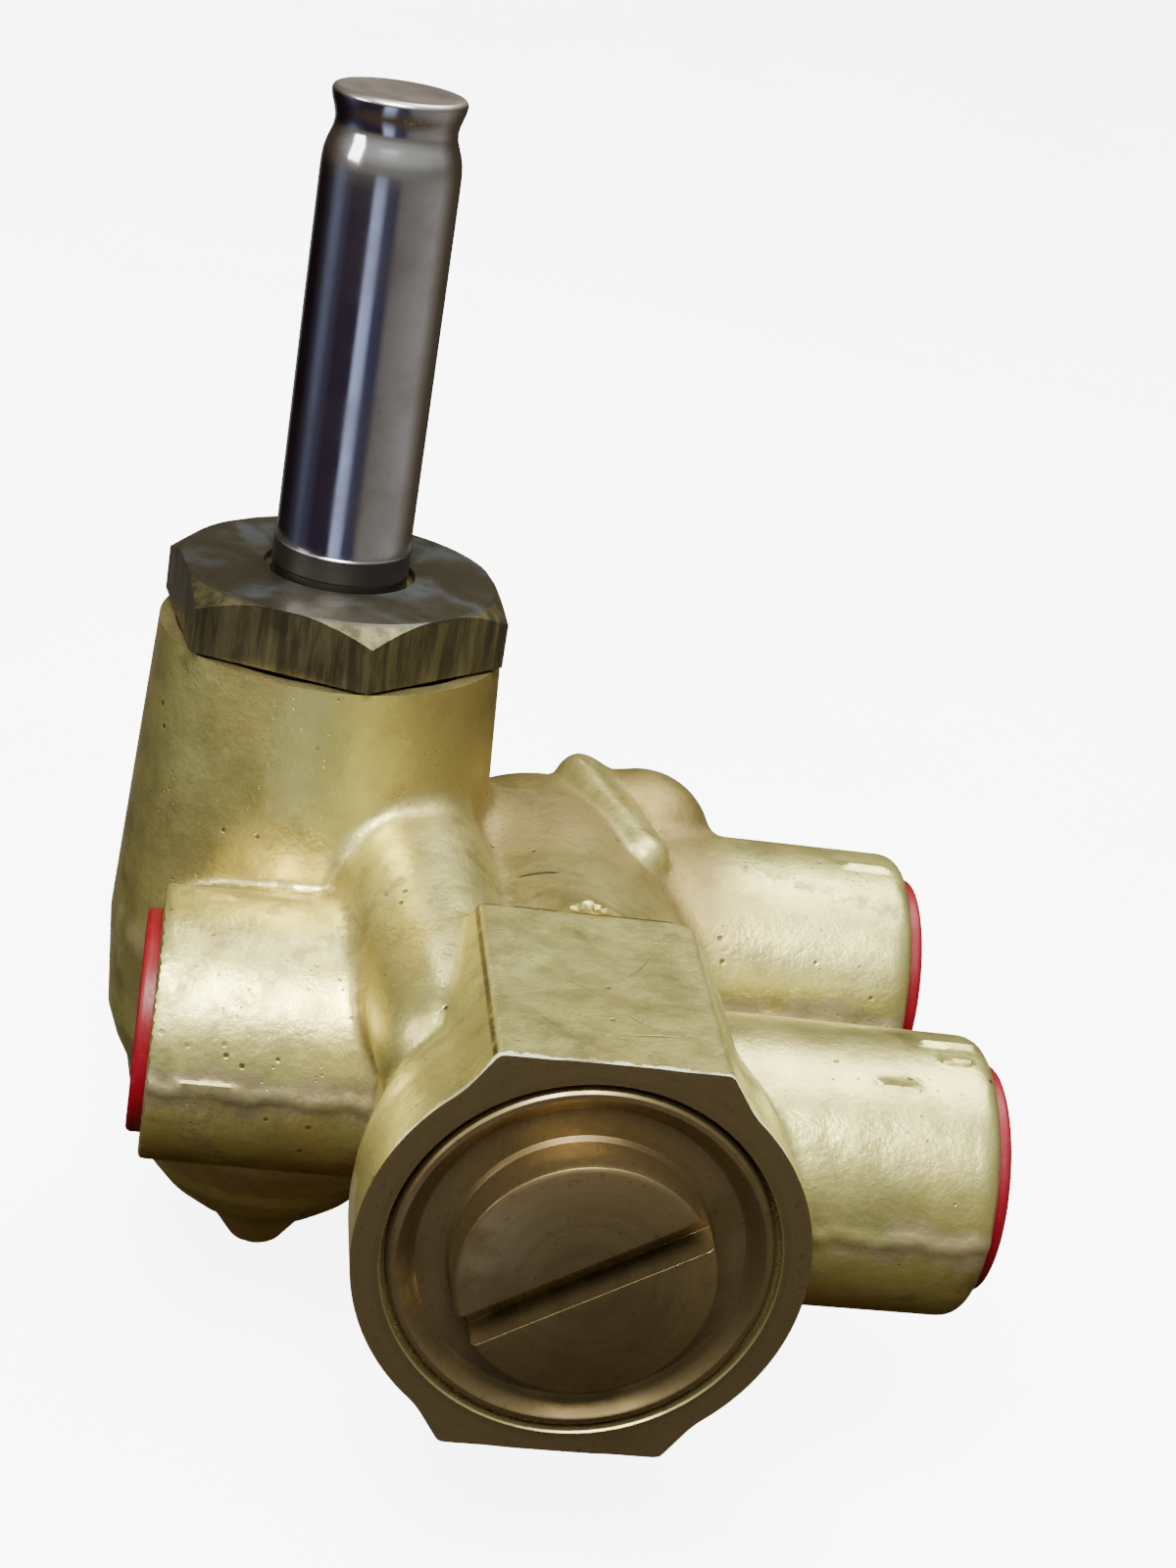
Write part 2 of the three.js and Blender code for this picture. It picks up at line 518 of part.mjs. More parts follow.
function coreTube() {
  const inner = TUBE_R - TUBE_WALL;
  const neck = TUBE_R - 0.95;
  const roof = PLUGNUT_TOP + 0.2;
  addToColumn('core_tube', spindle([
    [TUBE_R - 1, TUBE_TOP],
    [TUBE_R - 0.25, TUBE_TOP - 0.5],
    [TUBE_R - 0.25, TUBE_TOP - 1.3],
    [neck, TUBE_TOP - 2.9],
    [neck, TUBE_TOP - 4],
    [TUBE_R - 0.2, TUBE_TOP - 6],
    [TUBE_R, TUBE_TOP - 8],
    [TUBE_R, TUBE_FLANGE_Z + TUBE_FLANGE_THICK],
    [TUBE_FLANGE_R, TUBE_FLANGE_Z + TUBE_FLANGE_THICK],
    [TUBE_FLANGE_R, TUBE_FLANGE_Z],
    [inner, TUBE_FLANGE_Z],
    [inner, TUBE_TOP - 8.4],
    [neck - TUBE_WALL, TUBE_TOP - 8.4],
    [neck - TUBE_WALL, roof],
  ], 'z', 32), STEEL);
  const plugR = inner - 0.1;
  const shadeR = 4.9;
  addToColumn('plugnut', spindle([
    [shadeR - 0.6, PLUGNUT_BOTTOM],
    [shadeR - 0.6, PLUGNUT_BOTTOM + 1.3],
    [shadeR + 0.6, PLUGNUT_BOTTOM + 1.3],
    [shadeR + 0.6, PLUGNUT_BOTTOM],
    [plugR, PLUGNUT_BOTTOM],
    [plugR, TUBE_TOP - 8.6],
    [neck - TUBE_WALL - 0.1, TUBE_TOP - 8.6],
    [neck - TUBE_WALL - 0.1, PLUGNUT_TOP],
  ], 'z', SMALL_SIDES), STEEL);
  addToColumn('shading_ring',
    ring(shadeR + 0.5, shadeR - 0.5, PLUGNUT_BOTTOM + 0.1, PLUGNUT_BOTTOM + 1.2, 'z', SMALL_SIDES), COPPER);
}

// A coil spring of square-cut wire rings joined by its helix, between two heights.
function coilSpring(name, radius, wire, from, to, turns) {
  class Helix extends THREE.Curve {
    getPoint(t, target = new THREE.Vector3()) {
      const angle = 2 * Math.PI * turns * t;
      const rise = from + wire + (to - from - 2 * wire) * t;
      return target.set(radius * Math.cos(angle), radius * Math.sin(angle), rise);
    }
  }
  const section = new THREE.Shape();
  const corners = 5;
  for (let i = 0; i < corners; i += 1) {
    const turn = (2 * Math.PI * i) / corners;
    const move = i === 0 ? 'moveTo' : 'lineTo';
    section[move](wire * Math.cos(turn), wire * Math.sin(turn));
  }
  section.closePath();
  const geometry = new THREE.ExtrudeGeometry(section, {
    steps: turns * 8, extrudePath: new Helix(), bevelEnabled: false,
  });
  addToColumn(name, geometry, STEEL);
}

function pilotValve() {
  const coreR = TUBE_R - TUBE_WALL - 0.2;
  const coreTop = PLUGNUT_BOTTOM - CORE_TRAVEL - FIT;
  const coreBottom = NOZZLE_TOP + 0.5;
  const pocketR = 2.9;
  const pocketFloor = coreTop - 12;
  const sealTop = coreBottom + 2.4;
  addToColumn('core', turned([
    [0, sealTop], [NOZZLE_R + 0.55, sealTop], [NOZZLE_R + 0.55, coreBottom], [coreR - 0.5, coreBottom],
    [coreR, coreBottom + 0.5], [coreR, coreTop - 0.5], [coreR - 0.5, coreTop], [pocketR, coreTop],
    [pocketR, pocketFloor], [0, pocketFloor],
  ], 'z', SMALL_SIDES), STEEL);
  const sealR = NOZZLE_R + 0.5;
  addToColumn('core_seal', rod(sealR, NOZZLE_TOP + SEAT_TOUCH, sealTop - SEAL_FIT, 'z'), RUBBER);
  coilSpring('core_spring', pocketR - 0.75, 0.35, pocketFloor + 0.1, PLUGNUT_BOTTOM - 0.1, 6);

  const plateBottom = COLUMN_STEP + FIT;
  let plate = solid(spindle([
    [COLUMN_BORE_R - FIT, plateBottom], [COLUMN_BORE_R - FIT, plateBottom + PLATE_THICK],
    [NOZZLE_R + 1, plateBottom + PLATE_THICK], [NOZZLE_R, plateBottom + PLATE_THICK + 1],
    [NOZZLE_R, NOZZLE_TOP - 0.8], [ORIFICE_R + 0.9, NOZZLE_TOP],
  ], 'z'));
  plate = plate.subtract(solid(rod(ORIFICE_R, plateBottom - 1, NOZZLE_TOP + 1, 'z', 12)));
  addToColumn('pilot_plate', plate, MACHINED);
}

function relayValve() {
  const outer = RELAY_BORE_R - FIT;
  const cupFloor = outer - CUP_DEPTH;
  const top = RELAY_PISTON_Z + RELAY_PISTON_THICK;
  const cupFrom = RELAY_PISTON_Z + (RELAY_PISTON_THICK - CUP_WIDTH) / 2;
  const poppetTop = RELAY_SEAT_Z - LIP_HEIGHT - SEAT_TOUCH;
  addToColumn('relay_piston', spindle([
    [RELAY_STEM_R, poppetTop - 3.4], [RELAY_STEM_R, RELAY_PISTON_Z], [outer, RELAY_PISTON_Z],
    [outer, cupFrom - SEAL_FIT], [cupFloor, cupFrom - SEAL_FIT], [cupFloor, cupFrom + CUP_WIDTH + SEAL_FIT],
    [outer, cupFrom + CUP_WIDTH + SEAL_FIT], [outer, top],
  ], 'z'), MACHINED);
  addToColumn('relay_piston_cup',
    ring(RELAY_BORE_R - SEAL_FIT, cupFloor + SEAL_FIT, cupFrom, cupFrom + CUP_WIDTH, 'z'), RUBBER);

  const lipOuter = RELAY_SEAT_HOLE_R + LIP_WIDTH;
  const lipTop = RELAY_SEAT_Z - LIP_HEIGHT;
  const seatTop = RELAY_SEAT_Z + RELAY_SEAT_THICK;
  addToColumn('relay_seat', turned([
    [RELAY_SEAT_HOLE_R, lipTop], [lipOuter, lipTop], [lipOuter, RELAY_SEAT_Z], [outer, RELAY_SEAT_Z],
    [outer, seatTop], [RELAY_SEAT_HOLE_R, seatTop], [RELAY_SEAT_HOLE_R, lipTop],
  ], 'z'), MACHINED);

  const sealThick = 1.2;
  const holderR = lipOuter + 1.8;
  addToColumn('relay_poppet_seal',
    ring(lipOuter + 0.7, RELAY_STEM_R + 0.9, poppetTop - sealThick, poppetTop, 'z', INNER_SIDES), RUBBER);
  const holderBore = RELAY_STEM_R + SEAL_FIT;
  const pocketOut = lipOuter + 0.75;
  const pocket = poppetTop - sealThick - SEAL_FIT;
  const springSeat = poppetTop - 3.4;
  const guideEnd = poppetTop - 4.6;
  addToColumn('relay_poppet', turned([
    [holderBore, guideEnd], [holderR - 2.6, guideEnd], [holderR - 2.6, springSeat], [holderR, springSeat],
    [holderR, poppetTop - SEAL_PROUD], [pocketOut, poppetTop - SEAL_PROUD], [pocketOut, pocket],
    [holderBore, pocket], [holderBore, guideEnd],
  ], 'z', INNER_SIDES), MACHINED);
  coilSpring('relay_spring', holderR - 0.9, 0.55, RELAY_BORE_END + 0.1, poppetTop - 3.5, 4);
}

// ---------- port caps ----------
function portCap(name, side, y) {
  const outer = PORT_BORE_R - 0.25;
  const inner = outer - PLUG_WALL;
  const sunk = PORT_MOUTH_DEPTH * (PORT_MOUTH_R - PLUG_FLANGE_R) / (PORT_MOUTH_R - PORT_BORE_R);
  const face = PORT_REACH - sunk + FIT;
  const tip = PORT_REACH - PLUG_LENGTH;
  const cup = turned([
    [0, side * tip], [outer - 0.7, side * tip], [outer, side * (tip + 2)], [outer, side * face],
    [PLUG_FLANGE_R, side * face], [PLUG_FLANGE_R, side * (face + PLUG_FLANGE_THICK - 0.4)],
    [PLUG_FLANGE_R - 0.4, side * (face + PLUG_FLANGE_THICK)], [inner, side * (face + PLUG_FLANGE_THICK)],
    [inner - 0.3, side * (tip + PLUG_WALL)], [0, side * (tip + PLUG_WALL)],
  ], 'x');
  addPiece(name, moved(cup, 0, y, 0), PLASTIC);
}

valveBody();
frontEndCap();
mainValve();
solenoidBase();
coreTube();
pilotValve();
relayValve();
portCap('left_port_cap', -1, LEFT_PORT_Y);
portCap('front_port_cap', 1, FRONT_PORT_Y);
portCap('rear_port_cap', 1, REAR_PORT_Y);

export default group;
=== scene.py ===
"""The looks of a brass three-way valve: forged body, slotted end cap, solenoid base, core tube and port caps.

Shapes are worked out in millimetres with the main bore's axis at X = 0, Z = 0 and the front face at Y = 0, as
the CAD draws them, and moved into the frame by `shift`, which the frame's own boxes give.
"""
import json
import math

import bpy
import bmesh
import numpy as np
from mathutils import Matrix, Vector


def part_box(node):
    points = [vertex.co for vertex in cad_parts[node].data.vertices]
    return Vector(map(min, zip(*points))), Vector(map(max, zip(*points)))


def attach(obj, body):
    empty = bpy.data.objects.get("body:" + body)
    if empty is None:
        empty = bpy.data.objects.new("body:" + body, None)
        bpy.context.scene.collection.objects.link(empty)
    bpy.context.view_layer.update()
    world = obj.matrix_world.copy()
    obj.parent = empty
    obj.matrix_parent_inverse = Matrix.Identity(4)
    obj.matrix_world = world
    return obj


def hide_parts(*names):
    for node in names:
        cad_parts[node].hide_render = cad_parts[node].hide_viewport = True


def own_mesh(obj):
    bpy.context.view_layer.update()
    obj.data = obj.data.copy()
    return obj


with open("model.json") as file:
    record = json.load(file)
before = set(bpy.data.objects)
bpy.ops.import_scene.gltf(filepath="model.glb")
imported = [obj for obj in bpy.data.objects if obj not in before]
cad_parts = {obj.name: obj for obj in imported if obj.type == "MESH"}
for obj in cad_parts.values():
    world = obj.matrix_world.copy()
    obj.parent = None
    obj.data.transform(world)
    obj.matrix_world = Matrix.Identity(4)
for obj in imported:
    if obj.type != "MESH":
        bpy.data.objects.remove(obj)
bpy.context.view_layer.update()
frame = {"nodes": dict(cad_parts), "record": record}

# ---------- places read from the frame, in millimetres from the main bore's axis at the front face ----------
body_low, body_high = (np.array(p) * 1000 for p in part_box("valve_body"))
mounts = {m["name"]: np.array(m["pos_m"]) * 1000 for m in frame["record"]["mounts"]}
PAD_TOP = mounts["upper_pad"][2] / 2
shift = np.array([0.0, body_low[1], PAD_TOP])


def middle(node):
    """The middle of a node's box, from the main bore's axis at the front face."""
    low, high = (np.array(p) * 1000 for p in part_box(node))
    return (low + high) / 2 - shift


COLUMN_X, COLUMN_Y = middle("core_tube")[:2]
COLUMN_TOP = body_high[2] - shift[2]
COLUMN_BOTTOM = body_low[2] - shift[2]
PORT_REACH = body_high[0]
FRONT_PORT_Y = middle("front_port_cap")[1]
REAR_PORT_Y = middle("rear_port_cap")[1]
LEFT_PORT_Y = middle("left_port_cap")[1]
PORTS = ((1, FRONT_PORT_Y), (1, REAR_PORT_Y), (-1, LEFT_PORT_Y))   # side, place along the bore
TUBE_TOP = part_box("core_tube")[1].z * 1000 - shift[2]
HEX_TOP = mounts["coil_seat"][2] - shift[2]
CAP_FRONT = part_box("front_end_cap")[0].y * 1000 - shift[1]

# ---------- sizes repeated from the CAD, in millimetres ----------
PORT_R = 14.0
PORT_BORE_R = 10.3
PORT_MOUTH_R = 11.9
PORT_MOUTH_DEPTH = 0.9
PORT_BORE_DEPTH = 17.0
BOSS_R = 21.25
BOSS_LENGTH = 36.5
BARREL_R = 17.2
BARREL_END = 81.0
PAD_HALF = 10.5
PAD_LENGTH = 31.5
SHOULDER_X = 13.8
SHOULDER_Z = 15.8
CAP_RECESS_R = 18.5
CAP_RECESS_DEPTH = 1.2
CAP_BORE_R = 18.0
CAP_BORE_DEPTH = 10.2
CAGE_R = 15.1
CAGE_END = 50.0
PISTON_BORE_R = 12.5
PISTON_BORE_END = 78.0
CAP_DISC_R = 12.1
CAP_FLOOR = 1.6
SLOT_WIDTH = 3.3
SLOT_DEPTH = 4.0
SLOT_ANGLE = 31.0
COLUMN_TOP_R = 18.25
COLUMN_DRAFT = 0.056
COLUMN_BORE_R = 15.0
COLUMN_STEP = 16.0
RELAY_BORE_R = 11.0
RELAY_BORE_END = -24.0
HEX_FLATS = 33.0
HEX_TURN = -20.0
TUBE_R = 7.14
PLUG_FLANGE_R = 11.4
PLUG_FLANGE_THICK = 1.7
PLUG_LENGTH = 12.0
PLUG_WALL = 1.7
CORE_TRAVEL = 1.5
RELAY_TRAVEL = 2.4

# ---------- details of the looks, in millimetres ----------
VOXEL = 0.6   # grid step of the forged skin
SIDES = 144                          # facets round a turned piece
SMALL_SIDES = 96
SEAM_RISE = 0.32                     # height of the forging's parting seam on the ports
MARK_RISE = 0.42                     # radius of the raised bars on the ports
PORT_THREAD = 1.81                   # pitches
CAP_THREAD = 1.5
COLUMN_THREAD = 1.4
RIB_START = (4.5, 75.5, 16.2)
RIB_END = (9.9, 61.5, 13.7)
BRASS_METALLIC = 0.88

# ---------- camera: place in millimetres, angles in degrees ----------
CAMERA_PLACE = (-42.12, -224.01, 139.27)
CAMERA_AZIMUTH = -8.941
CAMERA_ELEVATION = 22.108
CAMERA_ROLL = 9.577
CAMERA_LENS = 66.21


# ---------- camera ----------
def add_camera():
    """Looks from the front left and above, leaning a little."""
    camera = bpy.data.objects.new("camera", bpy.data.cameras.new("camera"))
    camera.matrix_world = (Matrix.Translation((Vector(CAMERA_PLACE) + Vector(shift)) / 1000)
                           @ Matrix.Rotation(math.radians(CAMERA_AZIMUTH), 4, "Z")
                           @ Matrix.Rotation(math.radians(90 - CAMERA_ELEVATION), 4, "X")
                           @ Matrix.Rotation(math.radians(CAMERA_ROLL), 4, "Z"))
    camera.data.sensor_width = 36
    camera.data.lens = CAMERA_LENS
    camera.data.clip_start = 0.01
    camera.data.clip_end = 20
    bpy.context.scene.collection.objects.link(camera)
    bpy.context.scene.camera = camera


# ---------- mesh tools ----------
def mesh_object(name, points_mm, faces, smooth_angle=40):
    """A mesh object whose points are given in millimetres from the main bore's axis."""
    mesh = bpy.data.meshes.new(name)
    mesh.from_pydata(((np.asarray(points_mm, float) + shift) / 1000).tolist(), [], faces)
    mesh.update()
    piece = bpy.data.objects.new(name, mesh)
    bpy.context.scene.collection.objects.link(piece)
    soften(piece, smooth_angle)
    return piece


def soften(piece, angle):
    """Smooth shading, with edges sharper than angle kept sharp."""
    mesh = piece.data
    mesh.polygons.foreach_set("use_smooth", [True] * len(mesh.polygons))
    mesh.set_sharp_from_angle(angle=math.radians(angle))
    mesh.update()


def turned(name, profile, centre, axis, sides=SIDES, smooth_angle=40):
    """A turned solid: profile holds (radius, distance along the axis); radius 0 closes an end."""
    profile = np.asarray(profile, float)
    closed = profile[0, 0] > 1e-6
    rings = []
    points = []
    for radius, along in profile:
        if radius < 1e-6:
            rings.append([len(points)] * sides)
            points.append((0, 0, along))
        else:
            first = len(points)
            turn = np.linspace(0, 2 * math.pi, sides, endpoint=False)
            points += [(radius * math.cos(t), radius * math.sin(t), along) for t in turn]
            rings.append(list(range(first, first + sides)))
    pairs = list(zip(rings, rings[1:]))
    if closed:
        pairs.append((rings[-1], rings[0]))
    faces = []
    for a, b in pairs:
        for i in range(sides):
            j = (i + 1) % sides
            corners = []
            for k in (a[i], a[j], b[j], b[i]):
                if k not in corners:
                    corners.append(k)
            if len(corners) > 2:
                faces.append(corners)
    points = np.array(points)[:, {"x": [2, 0, 1], "y": [1, 2, 0], "z": [0, 1, 2]}[axis]]
    piece = mesh_object(name, points + np.array(centre), faces, smooth_angle)
    outward(piece)
    return piece


def outward(piece):
    """Turns every face outwards."""
    work = bmesh.new()
    work.from_mesh(piece.data)
    bmesh.ops.recalc_face_normals(work, faces=work.faces)
    work.to_mesh(piece.data)
    work.free()


def cut(piece, cutter):
    """Cuts cutter out of piece, exactly, and removes the cutter."""
    combine(piece, cutter, "DIFFERENCE")


def combine(piece, other, operation):
    """Joins, cuts or intersects piece with other, and removes other."""
    modifier = piece.modifiers.new("combine", "BOOLEAN")
    modifier.operation = operation
    modifier.solver = "MANIFOLD"
    modifier.object = other
    graph = bpy.context.evaluated_depsgraph_get()
    result = bpy.data.meshes.new_from_object(piece.evaluated_get(graph))
    piece.modifiers.clear()
    old = piece.data
    piece.data = result
    result.name = piece.name
    bpy.data.meshes.remove(old)
    bpy.data.objects.remove(other)


def arc(centre, radius, start, end, steps):
    """Profile points on an arc, angles in degrees."""
    angles = np.radians(np.linspace(start, end, steps))
    return [(centre[0] + radius * math.cos(a), centre[1] + radius * math.sin(a)) for a in angles]


def thread(radius, start, end, pitch, depth):
    """Profile points of a row of thread ridges between two places along the axis."""
    count = max(1, int(abs(end - start) / pitch))
    step = (end - start) / count
    points = []
    for i in range(count):
        at = start + i * step
        points += [(radius, at + 0.1 * step), (radius - depth, at + 0.5 * step), (radius, at + 0.9 * step)]
    return points


# ---------- the forged body as a field of distances ----------
def smooth_min(a, b, reach):
    """The smaller of two distances, with a fillet of about the given reach where they meet."""
    share = np.clip(0.5 + 0.5 * (b - a) / reach, 0, 1)
    return b + (a - b) * share - reach * share * (1 - share)


def smooth_max(a, b, reach):
    return -smooth_min(-a, -b, reach)


def profile_radius(along, table):
    """Radius along an axis from a short table of (place, radius)."""
    places, radii = zip(*sorted(table))
    return np.interp(along, places, radii)


def capsule(points, start, end, radius_start, radius_end):
    """A round-ended bar that may taper."""
    start, end = np.array(start, float), np.array(end, float)
    along = end - start
    t = np.clip(((points - start) @ along) / (along @ along), 0, 1)
    nearest = start + t[..., None] * along
    away = np.sqrt(((points - nearest) ** 2).sum(-1))
    return away - (radius_start + (radius_end - radius_start) * t)


def port_field(p, side, y, edge):
    """A port's outside, tapering outwards, with a wandering seam at mid height and a rounded end."""
    across = np.hypot(p[..., 1] - y, p[..., 2])
    wander = 0.25 * np.sin(p[..., 0] * 0.9 + y) + 0.15 * np.sin(p[..., 0] * 2.3)
    seam = SEAM_RISE * np.exp(-((p[..., 2] - wander) / 0.8) ** 2)
    wall = across - PORT_R - 0.005 * (PORT_REACH - side * p[..., 0]) - seam
    end = side * p[..., 0] - PORT_REACH
    inner = -side * p[..., 0]
    return np.maximum(smooth_max(wall, end, edge), inner)


def column_field(p):
    """The column: drafted above its parting, belled below, with a small nose."""
    across = np.hypot(p[..., 0] - COLUMN_X, p[..., 1] - COLUMN_Y)
    parting_r = COLUMN_TOP_R + COLUMN_DRAFT * COLUMN_TOP
    table = [
        (COLUMN_TOP + 4, COLUMN_TOP_R - 0.2),
        (COLUMN_TOP, COLUMN_TOP_R),
        (0, parting_r),
        (-11, parting_r - 0.7),
        (-14, parting_r - 1.7),
        (-17, parting_r - 3.2),
        (-24, RELAY_BORE_R + 4.6),
        (-29, RELAY_BORE_R + 2.6),
        (-31.5, RELAY_BORE_R + 0.6),
        (-34, RELAY_BORE_R - 2.4),
        (COLUMN_BOTTOM + 5.2, 6.0),
        (COLUMN_BOTTOM + 3.2, 4.6),
        (COLUMN_BOTTOM + 0.9, 3.0),
        (COLUMN_BOTTOM, 0.1),
    ]
    wall = (across - profile_radius(p[..., 2], table)) * 0.9
    return np.maximum(wall, COLUMN_BOTTOM + 0.05 - p[..., 2])


def boss_field(p):
    """The round boss at the front of the main bore."""
    across = np.hypot(p[..., 0], p[..., 2])
    table = [
        (-3, BOSS_R),
        (9, BOSS_R),
        (13, BOSS_R - 0.5),
        (19, BARREL_R + 1.9),
        (BOSS_LENGTH, BARREL_R + 1.0),
    ]
    wall = across - profile_radius(p[..., 1], table)
    return smooth_max(wall, p[..., 1] - BOSS_LENGTH, 2.4)


def pad_field(p):
    """Both wrench pads as one block with sloping shoulders and a clipped rear corner."""
    x, z = np.abs(p[..., 0]), np.abs(p[..., 2])
    run, rise = SHOULDER_X - PAD_HALF, PAD_TOP - SHOULDER_Z
    length = math.hypot(run, rise)
    shoulder = (rise * x + run * z - (rise * PAD_HALF + run * PAD_TOP)) / length
    outline = smooth_max(z - PAD_TOP, shoulder, 0.5)
    outline = smooth_max(outline, x - SHOULDER_X, 0.8)
    corner = (p[..., 1] - PAD_LENGTH) + 0.6 * np.clip(p[..., 0] - PAD_HALF + 2.0, 0, 9)
    return smooth_max(outline, corner, 0.5)


def barrel_field(p):
    """The round barrel behind the boss, its end well rounded."""
    across = np.hypot(p[..., 0], p[..., 2])
    wall = across - BARREL_R
    return smooth_max(wall, p[..., 1] - BARREL_END, 9.0)


def front_block(p):
    """The round boss with its two pads, cut level with the pads' flats."""
    block = smooth_min(boss_field(p), pad_field(p), 0.4)
    return smooth_max(block, np.abs(p[..., 2]) - PAD_TOP, 0.35)


def rib_field(p):
    """The short slanting rib on the barrel's top."""
    round_rib = capsule(p, RIB_START, RIB_END, 3.5, 3.2)
    across, along, up = (p[..., k] - RIB_START[k] for k in range(3))
    flat_top = across * 0.38 + along * 0.02 + (up - 2.9) * 0.92
    return smooth_max(round_rib, flat_top, 0.6)


def raised_mark(p, side, y, turn, length, along):
    """A small raised bar along a port, turn degrees from its top, where a real forging carries marks."""
    angle = math.radians(turn)
    across, up = y + PORT_R * math.sin(angle), PORT_R * math.cos(angle)
    start = (side * (along - length / 2), across, up)
    end = (side * (along + length / 2), across, up)
    return capsule(p, start, end, MARK_RISE, MARK_RISE)


def body_layers():
    """The forging's masses in the order they are joined, each with the radius of its fillet."""
    neck = ((COLUMN_X + 10.5, COLUMN_Y - 14, 13.6), (-12.2, 22, 9.5), 8.7, 7.6)
    web = ((COLUMN_X, COLUMN_Y, 4), (0, COLUMN_Y - 3, 3), 13, 13.5)
    lump = ((8.0, BARREL_END - 6.5, 9.2), (11.5, BARREL_END - 6.0, 9.8), 8.8, 8.5)
    swell = ((1.5, 35, 13.4), (-1.0, 47, 10.8), 6.3, 6.1)
    burr_left = ((-1.2, 33.0, 19.9), (0.6, 34.4, 20.1), 0.5, 0.5)
    burr_right = ((0.6, 34.4, 20.1), (2.6, 33.0, 19.9), 0.5, 0.5)
    layers = [
        (barrel_field, 0.0),
        (column_field, 3.0),
        (lambda p: capsule(p, *neck), 2.0),
        (lambda p: capsule(p, *web), 4.0),
        (lambda p: capsule(p, *lump), 1.2),
        (lambda p: capsule(p, *swell), 1.4),
        (lambda p: port_field(p, 1, FRONT_PORT_Y, 2.4), 1.9),
        (lambda p: port_field(p, 1, REAR_PORT_Y, 2.6), 1.9),
        (lambda p: port_field(p, -1, LEFT_PORT_Y, 0.7), 1.9),
        (rib_field, 0.8),
        (front_block, 0.7),
        (lambda p: capsule(p, *burr_left), 0.2),
        (lambda p: capsule(p, *burr_right), 0.2),
    ]
    marks = (   # side, port, turn, length, place along the port
        (1, FRONT_PORT_Y, 3, 5.0, 36.4),
        (1, FRONT_PORT_Y, -10, 2.6, 36.8),
        (1, FRONT_PORT_Y, -24, 4.2, 30.5),
        (1, REAR_PORT_Y, -6, 5.0, 36.0),
        (-1, LEFT_PORT_Y, 6, 4.0, 36.5),
        (-1, LEFT_PORT_Y, -87, 5.2, 35.2),
    )
    for mark in marks:
        layers.append((lambda p, mark=mark: raised_mark(p, *mark), 0.2))
    return layers


def body_field(p, crease=None):
    """Signed distance, roughly, to the skin of the forging before it is machined.

    Where an array is given as crease, it takes how deep in a fillet each place lies, from 0 to 1.
    """
    field = None
    for layer, fillet in body_layers():
        part = layer(p)
        if field is None:
            field = part
            continue
        if crease is not None and fillet > 1.0:
            np.maximum(crease, np.clip(1 - np.abs(field - part) / (fillet * 1.1), 0, 1), out=crease)
        field = smooth_min(field, part, fillet)
    return field


def surface_nets(field, low, step):
    """The zero surface of a grid of distances, as points and quads."""
    shape = np.array(field.shape)
    inside = field < 0
    total = np.zeros(tuple(shape - 1) + (3,), np.float32)
    count = np.zeros(tuple(shape - 1), np.float32)
    quads = []
    for axis in range(3):
        near = [slice(None)] * 3
        far = [slice(None)] * 3
        near[axis] = slice(0, -1)
        far[axis] = slice(1, None)
        a, b = field[tuple(near)], field[tuple(far)]
        crossing = inside[tuple(near)] != inside[tuple(far)]
        where = np.argwhere(crossing)
        share = (a[crossing] / (a[crossing] - b[crossing]))[:, None]
        points = where.astype(np.float32)
        points[:, axis:axis + 1] += share
        others = [k for k in range(3) if k != axis]
        for da in (0, 1):
            for db in (0, 1):
                cell = where.copy()
                cell[:, others[0]] -= da
                cell[:, others[1]] -= db
                good = ((cell >= 0) & (cell < shape - 1)).all(1)
                index = tuple(cell[good].T)
                np.add.at(total, index, points[good])
                np.add.at(count, index, 1)
        quads.append((axis, others, where, inside[tuple(near)][crossing]))
    used = count > 0
    number = np.full(count.shape, -1, np.int64)
    number[used] = np.arange(used.sum())
    places = total[used] / count[used][:, None] * step + np.array(low, np.float32)
    faces = []
    for axis, (o0, o1), where, starts_inside in quads:
        corners = []
        for d0, d1 in ((0, 0), (1, 0), (1, 1), (0, 1)):
            cell = where.copy()
            cell[:, o0] -= d0
            cell[:, o1] -= d1
            corners.append(number[tuple(cell.T)])
        quad = np.stack(corners, 1)
        flip = starts_inside if axis != 1 else ~starts_inside
        quad[flip] = quad[flip][:, ::-1]
        faces.append(quad)
    return places, np.concatenate(faces)


def forged_skin():
    """The skin of the unmachined forging, as points and quads; front and top run on past their cuts."""
    low = np.array([COLUMN_X - 22.5, -3.0, COLUMN_BOTTOM - 1.5])
    high = np.array([PORT_REACH + 2, COLUMN_Y + 22.5, COLUMN_TOP + 3])
    axes = [np.arange(a, b + VOXEL, VOXEL, dtype=np.float32) for a, b in zip(low, high)]
    field = np.empty(tuple(len(a) for a in axes), np.float32)
    for i, x in enumerate(axes[0]):
        p = np.empty((len(axes[1]), len(axes[2]), 3), np.float32)
        p[..., 0] = x
        p[..., 1] = axes[1][:, None]
        p[..., 2] = axes[2][None, :]
        field[i] = body_field(p)
    field[:, 0, :] = np.maximum(field[:, 0, :], 0.5)
    field[:, :, -1] = np.maximum(field[:, :, -1], 0.5)
    points, quads = surface_nets(field, low, VOXEL)
    return settle(points), quads


